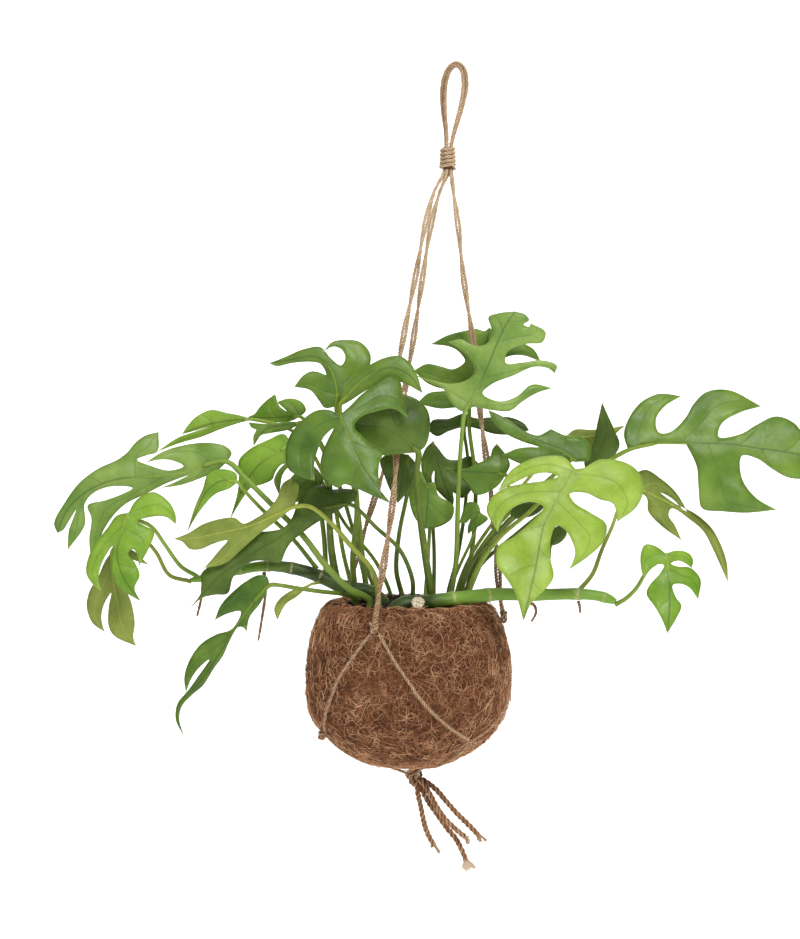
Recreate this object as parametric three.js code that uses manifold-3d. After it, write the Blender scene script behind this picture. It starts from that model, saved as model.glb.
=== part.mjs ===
// A coir ball with an open mouth, planted with a split-leaved climber, hanging in a knotted twine hanger.
// Millimetres, +Z up, +X right, +Y away from the front. The origin is the inside top of the twine loop.
import * as THREE from 'three';
import { mergeVertices } from 'three/addons/utils/BufferGeometryUtils.js';
import Module from 'manifold-3d';

const wasm = await Module();
wasm.setup();

// Driving dimensions.
const BALL_RADIUS = 70;
const BALL_BOTTOM = -110.5;
const MOUTH_RADIUS = 47;
const SOIL_TOP = 6;
const SOIL_CLEARANCE = 0.45;
const SOIL_INSET = 0.9;
const FOOT_CLEARANCE = 0.9;
const FOOT_DEPTH = 12;
const HOLE_HEIGHT = 40;
const BLADE = 0.8;
const RIB_STEPS = 8;
const EDGE_STEP = 7.5;
const EDGE_MOST = 6;
const STALK_SIDES = 6;
const TWINE = 2.5;
const TAIL = 3.5;
const PAIR_SPACING = 2.85;
const KNOT_SPACING = 0.6;
const NET_SPACING = 1.05;
const GAP = 0.3;

// Places of leaves and stems are written [x, z, depth] as they appear from this eye, on the plane through the
// ball's axis; depth is how far the point lies behind that plane. Zero height is the ball's mouth.
const EYE = { x: -5.5, distance: 1400, height: 142.6 };
const LOOP_TOP = { x: 33, z: 370 };

const GREEN = { colour: '#557f36', roughness: 0.45 };
const LIME = { colour: '#8fb84e', roughness: 0.45 };
const OLIVE = { colour: '#82904c', roughness: 0.55 };
const DARK = { colour: '#36502a', roughness: 0.4 };
const STEM = { colour: '#5c7a34', roughness: 0.55 };
const ROOT = { colour: '#6a4a35', roughness: 0.9 };
const COIR = { colour: '#77503a', roughness: 1 };
const SOIL = { colour: '#2a2019', roughness: 1 };
const JUTE = { colour: '#b5946b', roughness: 1 };
const CUT = { colour: '#c9bd9c', roughness: 0.9 };

const plant = new THREE.Group();
plant.position.set(-LOOP_TOP.x, 0, -LOOP_TOP.z);

// Solids

function solidOf(geometry) {
  const bare = geometry.clone();
  bare.deleteAttribute('normal');
  bare.deleteAttribute('uv');
  const merged = mergeVertices(bare, 1e-4);
  const corners = Array.from(merged.index.array);
  const kept = [];
  for (let i = 0; i < corners.length; i += 3) {
    const [a, b, c] = corners.slice(i, i + 3);
    if (a !== b && b !== c && c !== a) kept.push(a, b, c);
  }
  return new wasm.Manifold(new wasm.Mesh({
    numProp: 3,
    vertProperties: new Float32Array(merged.attributes.position.array),
    triVerts: new Uint32Array(kept),
  }));
}

function geometryOf(solid) {
  const mesh = solid.getMesh();
  const geometry = new THREE.BufferGeometry();
  geometry.setAttribute('position', new THREE.BufferAttribute(new Float32Array(mesh.vertProperties), 3));
  geometry.setIndex(new THREE.BufferAttribute(new Uint32Array(mesh.triVerts), 1));
  geometry.computeVertexNormals();
  return geometry;
}

function fuse(geometries) {
  return geometries.map(solidOf).reduce((whole, piece) => whole.add(piece));
}

function addPiece(name, look, solid) {
  const material = new THREE.MeshStandardMaterial({ color: look.colour, roughness: look.roughness, metalness: 0 });
  const mesh = new THREE.Mesh(geometryOf(solid), material);
  mesh.name = name;
  plant.add(mesh);
}

function indexed(points, corners) {
  const geometry = new THREE.BufferGeometry();
  geometry.setAttribute('position', new THREE.Float32BufferAttribute(points.flatMap((p) => [p.x, p.y, p.z]), 3));
  geometry.setIndex(corners);
  return geometry;
}

// Curves

function seen([x, z, depth]) {
  const scale = (EYE.distance + depth) / EYE.distance;
  return new THREE.Vector3(EYE.x + (x - EYE.x) * scale, depth, EYE.height + (z - EYE.height) * scale);
}

function smooth(points) {
  return new THREE.CatmullRomCurve3(points, false, 'centripetal');
}

const flat = ([x, z]) => new THREE.Vector3(x, 0, z);

// A round stalk along a curve, from one radius to the other, closed at both ends.
function stalk(points, startRadius, endRadius, steps, sides = STALK_SIDES) {
  const curve = smooth(points);
  const rings = [];
  const across = new THREE.Vector3(1, 0, 0);
  for (let i = 0; i <= steps; i += 1) {
    const centre = curve.getPoint(i / steps);
    const along = curve.getTangent(i / steps);
    const radius = THREE.MathUtils.lerp(startRadius, endRadius, i / steps);
    across.addScaledVector(along, -across.dot(along)).normalize();
    const up = along.clone().cross(across);
    for (let j = 0; j < sides; j += 1) {
      const angle = (j / sides) * 2 * Math.PI;
      rings.push(centre.clone()
        .addScaledVector(across, radius * Math.cos(angle))
        .addScaledVector(up, radius * Math.sin(angle)));
    }
  }
  const corners = [];
  for (let i = 0; i < steps; i += 1) {
    for (let j = 0; j < sides; j += 1) {
      const a = i * sides + j;
      const b = i * sides + ((j + 1) % sides);
      corners.push(a, b, b + sides, a, b + sides, a + sides);
    }
  }
  const last = steps * sides;
  for (let j = 1; j < sides - 1; j += 1) {
    corners.push(0, j + 1, j, last, last + j, last + j + 1);
  }
  return indexed(rings, corners);
}

// A length of twine with one section all along.
function twine(points, steps, sides = 8, thickness = TWINE) {
  const section = new THREE.Shape();
  for (let j = 0; j < sides; j += 1) {
    const angle = (j / sides) * 2 * Math.PI;
    section[j ? 'lineTo' : 'moveTo']((thickness / 2) * Math.cos(angle), (thickness / 2) * Math.sin(angle));
  }
  section.closePath();
  return new THREE.ExtrudeGeometry(section, { steps, extrudePath: smooth(points) });
}

function knot(centre, radii, tilt = 0) {
  const ball = new THREE.SphereGeometry(1, 8, 6);
  ball.rotateX(Math.PI / 2);
  ball.scale(...radii);
  ball.rotateY(tilt);
  ball.translate(centre.x, centre.y, centre.z);
  return ball;
}

// Leaves

function resample(points, count) {
  const lengths = [0];
  for (let i = 1; i < points.length; i += 1) lengths.push(lengths[i - 1] + points[i].distanceTo(points[i - 1]));
  const total = lengths[lengths.length - 1];
  return Array.from({ length: count + 1 }, (_, k) => {
    const want = (total * k) / count;
    let i = 1;
    while (i < lengths.length - 1 && lengths[i] < want) i += 1;
    const share = (want - lengths[i - 1]) / (lengths[i] - lengths[i - 1]);
    return points[i - 1].clone().lerp(points[i], share);
  });
}

// The smooth edge through some points, cut into the stretches between the given stops.
function stretches(points, stops) {
  const curve = smooth(points.map(flat));
  const last = points.length - 1;
  return stops.slice(1).map((stop, i) => Array.from({ length: 25 }, (_, k) => (
    curve.getPoint(THREE.MathUtils.lerp(stops[i], stop, k / 24) / last))));
}

// The outer and inner edge of each lobe on one side, from the leaf's base to its tip. A lobe without a tip
// is a plain stretch of margin.
function lobeEdges(start, lobes, end) {
  const edges = lobes.map(() => ({}));
  let points = [start];
  let stops = [0];
  let owners = [];
  const close = () => {
    stretches(points, stops).forEach((line, i) => { edges[owners[i][0]][owners[i][1]] = line; });
    stops = [0];
    owners = [];
  };
  lobes.forEach((lobe, i) => {
    points.push(...lobe.edge);
    if (lobe.tip) {
      points.push(lobe.tip);
      stops.push(points.length - 1);
      owners.push([i, 'outer']);
      close();
      points = [lobe.tip, ...lobe.back];
    }
    points.push(lobe.notch ?? end);
    stops.push(points.length - 1);
    owners.push([i, lobe.tip ? 'inner' : 'outer']);
  });
  close();
  return edges;
}

function lengthOf(line) {
  return line.reduce((sum, p, i) => (i ? sum + p.distanceTo(line[i - 1]) : 0), 0);
}

// A stretch of leaf edge in steps of even length.
function stepped(line) {
  return resample(line, THREE.MathUtils.clamp(Math.round(lengthOf(line) / EDGE_STEP), 2, EDGE_MOST));
}

// A leaf's outline split into triangles on the picture plane, each side of the rib by itself.
function leafNet(rib, sides) {
  const ribLine = resample(smooth(rib.map(flat)).getPoints(60), RIB_STEPS);
  const points = [];
  const corners = [];
  const numbers = new Map();
  const numberOf = (p) => {
    const key = `${p.x.toFixed(4)},${p.z.toFixed(4)}`;
    if (!numbers.has(key)) numbers.set(key, points.push(p) - 1);
    return numbers.get(key);
  };
  for (const { start = rib[0], lobes } of sides) {
    const first = ribLine.reduce((best, p, i) => (
      p.distanceTo(flat(start)) < ribLine[best].distanceTo(flat(start)) ? i : best), 0);
    const origin = ribLine[first];
    const margin = [];
    for (const { outer, inner } of lobeEdges([origin.x, origin.z], lobes, rib[rib.length - 1])) {
      margin.push(...stepped(outer).slice(1));
      if (inner) margin.push(...stepped(inner).slice(1));
    }
    const outline = [...ribLine.slice(first), ...margin.slice(0, -1).reverse()];
    const faces = THREE.ShapeUtils.triangulateShape(outline.map((p) => new THREE.Vector2(p.x, p.z)), []);
    for (const face of faces) {
      const [p, q, r] = face.map((k) => outline[k]);
      const turn = (q.x - p.x) * (r.z - p.z) - (q.z - p.z) * (r.x - p.x);
      corners.push(...(turn > 0 ? [p, q, r] : [p, r, q]).map(numberOf));
    }
  }
  return { points, corners, ribLine };
}

// How far behind the picture plane a leaf's blade lies at a point: a tilted plane, arched along its length,
// folded along its rib and cupped at its sides.
function bladeDepth(leaf, ribLine, p) {
  const [base, tip] = [ribLine[0], ribLine[ribLine.length - 1]];
  const along = tip.clone().sub(base);
  const share = THREE.MathUtils.clamp(p.clone().sub(base).dot(along) / along.lengthSq(), 0, 1);
  const segment = new THREE.Line3();
  let off = Infinity;
  for (let i = 0; i < ribLine.length - 1; i += 1) {
    segment.set(ribLine[i], ribLine[i + 1]);
    off = Math.min(off, segment.closestPointToPoint(p, true, new THREE.Vector3()).distanceTo(p));
  }
  const { depth, slope, arch = 0, fold = 0.1, cup = 0.002 } = leaf;
  return depth + slope[0] * (p.x - base.x) + slope[1] * (p.z - base.z)
    + arch * 4 * share * (1 - share) + fold * off + cup * off * off;
}

// A blade of even thickness over the net, both faces split alike.
function blade(leaf) {
  const { points, corners, ribLine } = leafNet(leaf.rib, leaf.sides);
  const middle = points.map((p) => seen([p.x, p.z, bladeDepth(leaf, ribLine, p)]));
  const normals = middle.map(() => new THREE.Vector3());
  const edges = new Map();
  for (let i = 0; i < corners.length; i += 3) {
    const [a, b, c] = corners.slice(i, i + 3);
    const face = middle[b].clone().sub(middle[a]).cross(middle[c].clone().sub(middle[a]));
    for (const k of [a, b, c]) normals[k].add(face);
    for (const [from, to] of [[a, b], [b, c], [c, a]]) {
      if (edges.has(`${to},${from}`)) edges.delete(`${to},${from}`);
      else edges.set(`${from},${to}`, [from, to]);
    }
  }
  normals.forEach((n) => n.setLength(BLADE / 2));
  const front = middle.map((p, i) => p.clone().add(normals[i]));
  const back = middle.map((p, i) => p.clone().sub(normals[i]));
  const half = points.length;
  const all = [...corners];
  for (let i = 0; i < corners.length; i += 3) {
    all.push(corners[i] + half, corners[i + 2] + half, corners[i + 1] + half);
  }
  for (const [from, to] of edges.values()) {
    all.push(to, from, from + half, to, from + half, to + half);
  }
  const { joint = 0 } = leaf;
  const [base, heel] = [joint, joint + 1].map((i) => (
    seen([ribLine[i].x, ribLine[i].z, bladeDepth(leaf, ribLine, ribLine[i])])));
  return { geometry: indexed([...front, ...back], all), base, heel };
}

const feet = [];

// A leaf with its own stalk, in one piece. The stalk starts in the soil at foot [x, y], or at the first place
// of its route where it grows from a vine.
function addLeaf(leaf) {
  const { geometry, base, heel } = blade(leaf);
  const { foot, route, thick = 2.2, thin = 1.2, steps = 8 } = leaf.stalk;
  const path = route.map(seen);
  if (foot) {
    const [x, y] = foot;
    feet.push({ x, y, radius: thick });
    path.unshift(...[-FOOT_DEPTH, -5, 0, SOIL_TOP].map((z) => new THREE.Vector3(x, y, z)));
  }
  const turnsBack = base.clone().sub(path.at(-1)).dot(heel.clone().sub(base)) < 0;
  path.push(...(turnsBack ? [base.lerp(heel, 0.4)] : [base, heel]));
  addPiece(leaf.name, leaf.look, fuse([geometry, stalk(path, thick, thin, steps)]));
}

const LEAVES = [
  {
    name: 'leaf_right_broad', look: GREEN, depth: 4, slope: [0.12, 0.25],
    rib: [[151, 107], [170, 111.5], [190, 111.5], [220, 111], [240, 108], [268, 104], [297, 96]],
    sides: [
      { lobes: [
        { edge: [[148, 118], [152, 130], [160, 140], [172, 145.5]], tip: [187, 144], back: [[176, 137], [170, 128]],
          notch: [172, 119] },
        { edge: [[180, 119.5], [190, 129], [196, 139], [205, 147], [220, 148]], tip: [242, 137],
          back: [[228, 133], [215, 125]], notch: [213, 116] },
        { edge: [[228, 118], [240, 125], [252, 130], [264, 126], [276, 112]] },
      ] },
      { start: [192, 111], lobes: [
        { edge: [[198, 96], [199.5, 80], [202, 67], [216, 65], [232, 64]], tip: [253, 66],
          back: [[238, 75], [229, 88]], notch: [229, 103] },
        { edge: [[240, 101], [250, 94], [262, 88], [276, 88]] },
      ] },
    ],
    stalk: { foot: [40, 3], route: [[48, 32, 6], [70, 58, 10], [100, 80, 10], [130, 95, 7]] },
  },
  {
    name: 'leaf_right_lime', look: LIME, depth: -50, slope: [0.1, 0.3],
    rib: [[115, 94], [108, 83], [102, 72], [94, 57], [91, 45], [88, 28], [79.5, -10.5]],
    sides: [
      { lobes: [
        { edge: [[107, 102], [97, 103], [84, 100.5], [73, 95], [66, 87]], tip: [62, 79],
          back: [[72, 84], [84, 89.5], [95, 91.5]], notch: [103, 89] },
        { edge: [[94, 86], [80, 84], [67, 81], [58, 75], [54, 66]], tip: [61.5, 50.5],
          back: [[65, 60], [73, 68], [84, 71.5]], notch: [93, 68] },
        { edge: [[88, 61], [72, 47], [62, 41], [61, 28], [66, 21], [74, 8]] },
      ] },
      { lobes: [
        { edge: [[121, 95], [130, 100], [140, 100.5], [152, 97], [160, 89], [161, 77], [156, 67]], tip: [144, 58],
          back: [[141, 70], [132, 73], [122, 77.5]], notch: [111, 77] },
        { edge: [[114, 71], [125, 64], [136, 56], [134, 44], [124, 34]], tip: [111, 25],
          back: [[115, 36], [112, 46], [107, 53]], notch: [102, 55] },
        { edge: [[98, 46], [98, 32], [100, 20], [95, 12], [85, 2]] },
      ] },
    ],
    stalk: { foot: [40, -10], route: [[47, 24, -13], [62, 46, -22], [85, 66, -32], [106, 88, -41]] },
  },
  {
    name: 'leaf_right_small', look: LIME, depth: -34, slope: [0.2, 0.3],
    rib: [[177, 36], [179, 25], [180, 12], [180, -2], [178.5, -19]],
    sides: [
      { lobes: [
        { edge: [[170, 41], [163, 42], [160, 36], [160, 27]], tip: [162, 19], back: [[165, 24], [170, 28]],
          notch: [176, 28] },
        { edge: [[173, 22], [166, 14], [164, 8], [170, -1], [175, -10]] },
      ] },
      { lobes: [
        { edge: [[185, 38], [193, 36], [196, 31]], tip: [195, 26], back: [[191, 29], [186, 31]], notch: [180.5, 29] },
        { edge: [[185, 27], [194, 26], [201, 18]], tip: [199.5, 4.5], back: [[194, 12], [188, 15]],
          notch: [182, 14] },
        { edge: [[184, 6], [188, 0], [185, -8]] },
      ] },
    ],
    stalk: { route: [[144.8, 1.9, -18], [150, 5, -20], [157, 12, -24], [166, 26, -30]],
      thick: 1.7, steps: 6 },
  },
  {
    name: 'leaf_right_drooping', look: OLIVE, depth: 30, slope: [0.1, 0.2],
    rib: [[152, 84], [166, 77], [180, 70], [195, 62], [205, 53], [213, 38], [220, 16]],
    sides: [
      { lobes: [
        { edge: [[155, 90], [163, 93.5], [174, 87], [183, 79], [189, 70]], tip: [193.5, 60.5],
          back: [[188, 67], [181, 74]], notch: [173, 78] },
        { edge: [[183, 70.5], [197, 63.5], [208, 54], [214, 44], [219, 30]] },
      ] },
      { lobes: [
        { edge: [[158, 79], [164, 74], [165, 65], [174, 55]], tip: [188, 45], back: [[183, 56], [179, 62]],
          notch: [181, 67] },
        { edge: [[194, 59], [203, 51], [210, 38], [216, 25]] },
      ] },
    ],
    stalk: { route: [[119, 12.1, -15], [127, 22, -6], [133, 38, 4], [140, 54, 14], [147, 72, 24]],
      thick: 1.8, thin: 1 },
  },
  {
    name: 'leaf_right_upright', look: DARK, depth: 20, slope: [0, -0.05],
    rib: [[122, 92], [131, 106], [136, 120], [133, 140]],
    sides: [
      { lobes: [{ edge: [[121, 100], [127, 112], [130, 126]] }] },
      { lobes: [{ edge: [[136, 98], [145, 110], [141, 122], [137, 131]] }] },
    ],
    stalk: { foot: [39, 13], route: [[50, 28, 15], [75, 50, 20], [104, 74, 22]],
      thick: 1.8, thin: 1, steps: 6 },
  },
  {
    name: 'leaf_right_grey', look: OLIVE, depth: 36, slope: [0, 0.1],
    rib: [[108, 116], [122, 116], [136, 119], [149, 124]],
    sides: [
      { lobes: [{ edge: [[114, 121], [126, 121], [138, 122]] }] },
      { lobes: [{ edge: [[113, 110], [126, 109], [138, 115]] }] },
    ],
    stalk: { foot: [34, 24], route: [[42, 32, 26], [62, 62, 32], [90, 96, 36]],
      thick: 1.7, thin: 1, steps: 6 },
  },
  {
    name: 'leaf_right_inner', look: GREEN, depth: -22, slope: [0.05, 0.2],
    rib: [[116, 99], [104, 107], [90, 113], [74, 123], [55, 134.5]],
    sides: [
      { lobes: [
        { edge: [[124, 100], [125, 110], [119, 116], [108, 117]], tip: [98, 121.5], back: [[94, 119]],
          notch: [89, 117] },
        { edge: [[80, 120], [70, 127], [62, 131.5]] },
      ] },
      { lobes: [
        { edge: [[108, 99], [96, 95], [82, 96]], tip: [64, 103.5], back: [[75, 108], [84, 109]], notch: [90, 109] },
        { edge: [[78, 113], [66, 119], [58, 127]] },
      ] },
    ],
    stalk: { foot: [36, -2], route: [[42, 26, -3], [64, 58, 0], [98, 88, -15]], thick: 1.9 },
  },
  {
    name: 'leaf_right_low', look: DARK, depth: -14, slope: [0, 0.1],
    rib: [[70, 60], [78, 65], [86, 68], [94, 69]],
    sides: [
      { lobes: [{ edge: [[72, 68], [81, 71.5], [89, 71.5]] }] },
      { lobes: [{ edge: [[77, 60], [86, 62], [92, 66]] }] },
    ],
    stalk: { foot: [35, -8], route: [[41, 26, -10], [54, 42, -13]], thick: 1.9, thin: 1, steps: 6 },
  },
  {
    name: 'leaf_right_tiny', look: DARK, depth: -14, slope: [0, 0.1],
    rib: [[98, 41], [101, 46], [104, 50], [105, 56]],
    sides: [
      { lobes: [{ edge: [[97, 47], [100, 53]] }] },
      { lobes: [{ edge: [[104, 43], [109, 49], [108, 54]] }] },
    ],
    stalk: { route: [[94, 12.3, -20.3], [95, 20, -18], [97, 32, -15]], thick: 1.2, thin: 0.9, steps: 5 },
  },
  {
    name: 'leaf_top', look: GREEN, depth: -12, slope: [0.05, 0.06],
    rib: [[39, 133], [47, 148], [54, 163], [60, 178], [66, 191], [73, 202]],
    sides: [
      { lobes: [
        { edge: [[35, 134.5], [28, 141], [24, 149], [14, 153.5]], tip: [5, 158.5], back: [[18, 154.5], [30, 152.5]],
          notch: [41, 155.5] },
        { edge: [[46, 162], [42, 170], [34, 177]], tip: [27, 181], back: [[36, 183], [43, 179.5]], notch: [50, 178.5] },
        { edge: [[55, 181], [57, 190], [55, 198], [63, 201]] },
      ] },
      { lobes: [
        { edge: [[45, 136.5], [57, 134.5], [70, 134], [78, 140], [88, 146]], tip: [99, 149.5],
          back: [[85, 152], [74, 143.5], [62, 140.5]], notch: [51, 146] },
        { edge: [[58, 152.5], [72, 158], [86, 164], [96, 163]], tip: [100.5, 159.5],
          back: [[102, 165], [92, 168.5], [78, 167]], notch: [67, 166.5] },
        { edge: [[68, 174], [80, 179.5], [92, 181], [94, 188]], tip: [84, 194], back: [[83, 191.5]], notch: [79, 193] },
        { edge: [[83, 196], [80, 200]] },
      ] },
    ],
    stalk: { foot: [29, -12], route: [[33, 30, -14], [34, 60, -14], [35, 90, -13], [37, 118, -12]], steps: 8 },
  },
  {
    name: 'leaf_top_back', look: GREEN, depth: 15, slope: [0.02, 0.05],
    rib: [[42, 133], [44, 148], [48, 163], [53, 178], [56, 191]],
    sides: [
      { lobes: [
        { edge: [[34, 136], [22, 135.5]], tip: [6, 139], back: [[14, 146], [24, 147.5]], notch: [36, 147.5] },
        { edge: [[24, 149], [13, 153]], tip: [4, 161.5], back: [[13, 166], [22, 164.5], [31, 162.5]],
          notch: [39, 168] },
        { edge: [[34, 175], [28, 178]], tip: [15.5, 179.5], back: [[27, 185.5], [38, 188.5], [47, 190]],
          notch: [52.5, 188.5] },
        { edge: [[54.5, 190]] },
      ] },
      { lobes: [
        { edge: [[52, 156], [66, 170], [78, 172]], tip: [91, 167.5], back: [[86, 176], [76, 181], [66, 182]],
          notch: [58, 183] },
        { edge: [[58, 188]] },
      ] },
    ],
    stalk: { foot: [36, 8], route: [[43, 32, 8], [46, 62, 8], [46, 90, 10], [42, 122, 14]], thick: 1.9 },
  },
  {
    name: 'leaf_mid_back', look: DARK, depth: 29, slope: [0, 0.05],
    rib: [[13, 121], [26, 122.5], [41, 125.5], [56, 126], [72, 125], [83, 120.5]], joint: 3,
    sides: [
      { lobes: [{ edge: [[17, 127.5], [28, 128.5], [38, 132], [46, 129], [56, 129.5], [70, 129.5], [80, 125]] }] },
      { lobes: [{ edge: [[20, 116.5], [28, 120], [40, 123], [48, 121.5], [60, 118], [74, 118]] }] },
    ],
    stalk: { foot: [28, 20], route: [[34, 34, 25], [39, 66, 30], [41, 100, 29]], thick: 1.8, thin: 1 },
  },
  {
    name: 'leaf_mid_dark', look: DARK, depth: 17, slope: [0, 0.08],
    rib: [[17, 113], [20, 100], [24, 86], [31, 69]],
    sides: [
      { lobes: [
        { edge: [[12, 108], [9, 98]], tip: [12, 80], back: [[15.5, 87]], notch: [18, 93] },
        { edge: [[18.5, 82], [24, 75]] },
      ] },
      { lobes: [
        { edge: [[21, 108], [27, 101], [35, 100.5], [42, 103]], tip: [49, 97.5], back: [[45, 88], [43, 79], [37, 74]],
          notch: [31, 78] },
        { edge: [[31.5, 73]] },
      ] },
    ],
    stalk: { foot: [18, 18], route: [[18, 36, 23], [16, 74, 25], [15, 104, 22]], thick: 1.8, thin: 1 },
  },
  {
    name: 'leaf_mid_green', look: GREEN, depth: -7, slope: [0, 0.05],
    rib: [[67, 90], [56, 91.5], [44, 92], [34, 93], [25, 95]],
    sides: [
      { lobes: [
        { edge: [[70, 97], [67, 104]], tip: [61, 111.5], back: [[58, 108]], notch: [56, 102] },
        { edge: [[48, 98], [40, 94.5], [32, 94.5]] },
      ] },
      { lobes: [{ edge: [[63, 84], [55, 78], [46, 76.5], [41, 83], [35, 89], [30, 92]] }] },
    ],
    stalk: { foot: [41, -4], route: [[48, 24, -6], [62, 54, -8], [69, 78, -9]], thick: 1.8, thin: 1 },
  },
  {
    name: 'leaf_mid_low', look: GREEN, depth: 0, slope: [0, 0.1],
    rib: [[13, 84], [13.6, 74], [12.8, 64], [12, 53]],
    sides: [
      { lobes: [{ edge: [[8, 93], [1.5, 84], [1, 72], [5, 60]] }] },
      { lobes: [{ edge: [[18, 85], [21, 76], [31, 69], [30, 60], [20, 54]] }] },
    ],
    stalk: { foot: [12, 4], route: [[14, 36, 8], [15, 66, 8]], thick: 1.8, thin: 1, steps: 6 },
  },
  {
    name: 'leaf_mid_small', look: GREEN, depth: -3, slope: [0, 0.1],
    rib: [[50, 64], [46, 60], [43, 55], [41, 49]],
    sides: [
      { lobes: [
        { edge: [[48, 70], [41, 71]], tip: [35, 57], back: [[40, 57]], notch: [43, 60] },
        { edge: [[41, 54]] },
      ] },
      { lobes: [{ edge: [[55, 60], [51, 56], [46, 53]] }] },
    ],
    stalk: { foot: [28, 4], route: [[34, 24, 3], [44, 46, 0]], thick: 1.5, thin: 0.9, steps: 6 },
  },
  {
    name: 'leaf_centre_glossy', look: GREEN, depth: -58, slope: [0.05, 0.3],
    rib: [[-47, 131], [-42, 120], [-36, 105], [-27, 89], [-12, 70.5]],
    sides: [
      { lobes: [
        { edge: [[-54, 134.5], [-63, 134], [-73, 127], [-81, 117], [-84, 106], [-82, 94], [-73, 88.5]],
          tip: [-64, 86], back: [[-64.5, 96], [-62, 107], [-57, 117]], notch: [-51, 122] },
        { edge: [[-55, 114], [-59, 104], [-60, 95], [-56, 87], [-48, 81], [-44, 83.5], [-36, 81], [-25, 76]] },
      ] },
      { lobes: [
        { edge: [[-40, 137], [-32, 145], [-22, 152], [-10, 158], [-5, 153], [-4, 142]], tip: [0, 129],
          back: [[-10, 135.5], [-22, 133.5], [-32, 130]], notch: [-37, 123] },
        { edge: [[-33, 118], [-25, 111], [-17, 107], [-20, 97], [-20, 86], [-18, 77]] },
      ] },
    ],
    stalk: { route: [[-50, 22.2, -17], [-53, 42, -22], [-54, 74, -27], [-52, 108, -46]],
      thick: 3, thin: 1.5 },
  },
  {
    name: 'leaf_centre_arching', look: GREEN, depth: -40, slope: [0.02, 0.1], fold: 0.2,
    rib: [[-47, 137], [-40, 146], [-28, 157], [-12, 163.5], [1, 158], [10, 146]],
    sides: [
      { lobes: [{ edge: [[-45, 149], [-36, 158], [-25, 166], [-15, 170.5], [-6, 171.5], [1, 167], [6, 159]] }] },
      { lobes: [{ edge: [[-41, 140], [-27, 149], [-12, 155.5], [-1, 152]] }] },
    ],
    stalk: { foot: [-36, 0], route: [[-38, 30, -8], [-35, 70, -24], [-41, 110, -35]], thick: 2.6, thin: 1.4 },
  },
  {
    name: 'leaf_centre_upper', look: GREEN, depth: -28, slope: [0.05, 0.1],
    rib: [[-49, 137], [-49, 149], [-53, 162], [-63, 171], [-80, 169], [-95, 166.5]],
    sides: [
      { lobes: [
        { edge: [[-57, 136], [-61, 141], [-67, 148]], tip: [-78, 150.5], back: [[-72, 158], [-66, 161], [-60, 160]],
          notch: [-56, 158.5] },
        { edge: [[-60, 166], [-68, 167.5], [-80, 166.5], [-90, 164.5]] },
      ] },
      { lobes: [
        { edge: [[-40, 143], [-33, 152], [-27, 162], [-26, 173], [-33, 181], [-43, 182.5], [-52, 181]],
          tip: [-58, 174.5], back: [[-51, 178], [-45, 175.5], [-43, 169.5]], notch: [-46, 165] },
        { edge: [[-53, 170], [-60, 177.5], [-72, 176], [-85, 170.5]] },
      ] },
    ],
    stalk: { foot: [-28, -1], route: [[-31, 30, -4], [-36, 76, -14], [-46, 118, -24]],
      thick: 2.4, thin: 1.4 },
  },
  {
    name: 'leaf_centre_dark', look: DARK, depth: -42, slope: [0, 0.02],
    rib: [[7, 105.5], [-1, 113], [-8, 124], [-14, 141]],
    sides: [
      { lobes: [{ edge: [[-4, 104.5], [-17, 103.5], [-29, 107], [-38, 115], [-39, 125], [-30, 135]] }] },
      { lobes: [{ edge: [[12, 110], [15, 121], [13.5, 134], [6, 142], [-4, 145]] }] },
    ],
    stalk: { foot: [16, -24], route: [[12, 34, -30], [8, 64, -36], [6, 92, -40]], thick: 3.2, thin: 1.7 },
  },
  {
    name: 'leaf_centre_shade', look: DARK, depth: -13, slope: [0, 0.05],
    rib: [[0, 104], [-3, 94], [-5, 83], [-7, 70.5]],
    sides: [
      { lobes: [{ edge: [[-12, 105], [-19, 100], [-16, 89], [-12, 79]] }] },
      { lobes: [{ edge: [[5, 98], [4, 88], [0, 79]] }] },
    ],
    stalk: { foot: [-4, 4], route: [[-8, 24, 0], [-6, 50, -6], [0, 82, -11]], thick: 2.2, thin: 1.2, steps: 6 },
  },
  {
    name: 'leaf_centre_bright', look: LIME, depth: -12, slope: [-0.05, 0.15],
    rib: [[-80, 111], [-92, 104], [-104, 95], [-112, 83], [-122, 60]],
    sides: [
      { lobes: [{ edge: [[-85, 118], [-96, 114], [-108, 108], [-116, 100], [-116, 90], [-117, 78]] }] },
      { lobes: [
        { edge: [[-78, 104], [-82, 98.5], [-87, 97]], notch: [-91, 92] },
        { edge: [[-93, 87], [-100, 83.5], [-108, 81], [-114, 73]] },
      ] },
    ],
    stalk: { route: [[-56.5, 24.4, -18], [-58, 50, -16], [-64, 84, -14], [-74, 106, -12]],
      thick: 1.9, thin: 1.2 },
  },
  {
    name: 'leaf_left_arching', look: OLIVE, depth: -46, slope: [0.04, 0.1],
    rib: [[-78, 68], [-92, 62], [-108, 55], [-125, 51], [-145, 47], [-161, 46]],
    sides: [
      { lobes: [
        { edge: [[-76, 75], [-75, 82]], tip: [-80, 88], back: [[-86, 84], [-90, 74], [-97, 65.5]], notch: [-105, 60] },
        { edge: [[-113, 56.5], [-119, 60.5], [-128, 60], [-141, 56], [-151, 50]] },
      ] },
      { lobes: [
        { edge: [[-92, 57], [-104, 48], [-114, 39], [-126, 29]], tip: [-140, 26], back: [[-134, 33], [-129, 39]],
          notch: [-124, 45] },
        { edge: [[-134, 42.5], [-142, 39], [-150, 39], [-155, 44]] },
      ] },
    ],
    stalk: { foot: [-20, -30], route: [[-24, 23, -36], [-40, 42, -42], [-54, 58, -46], [-67, 68, -47]],
      thick: 2.3 },
  },
  {
    name: 'leaf_left_low', look: DARK, depth: -37, slope: [0.04, 0.1],
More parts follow.
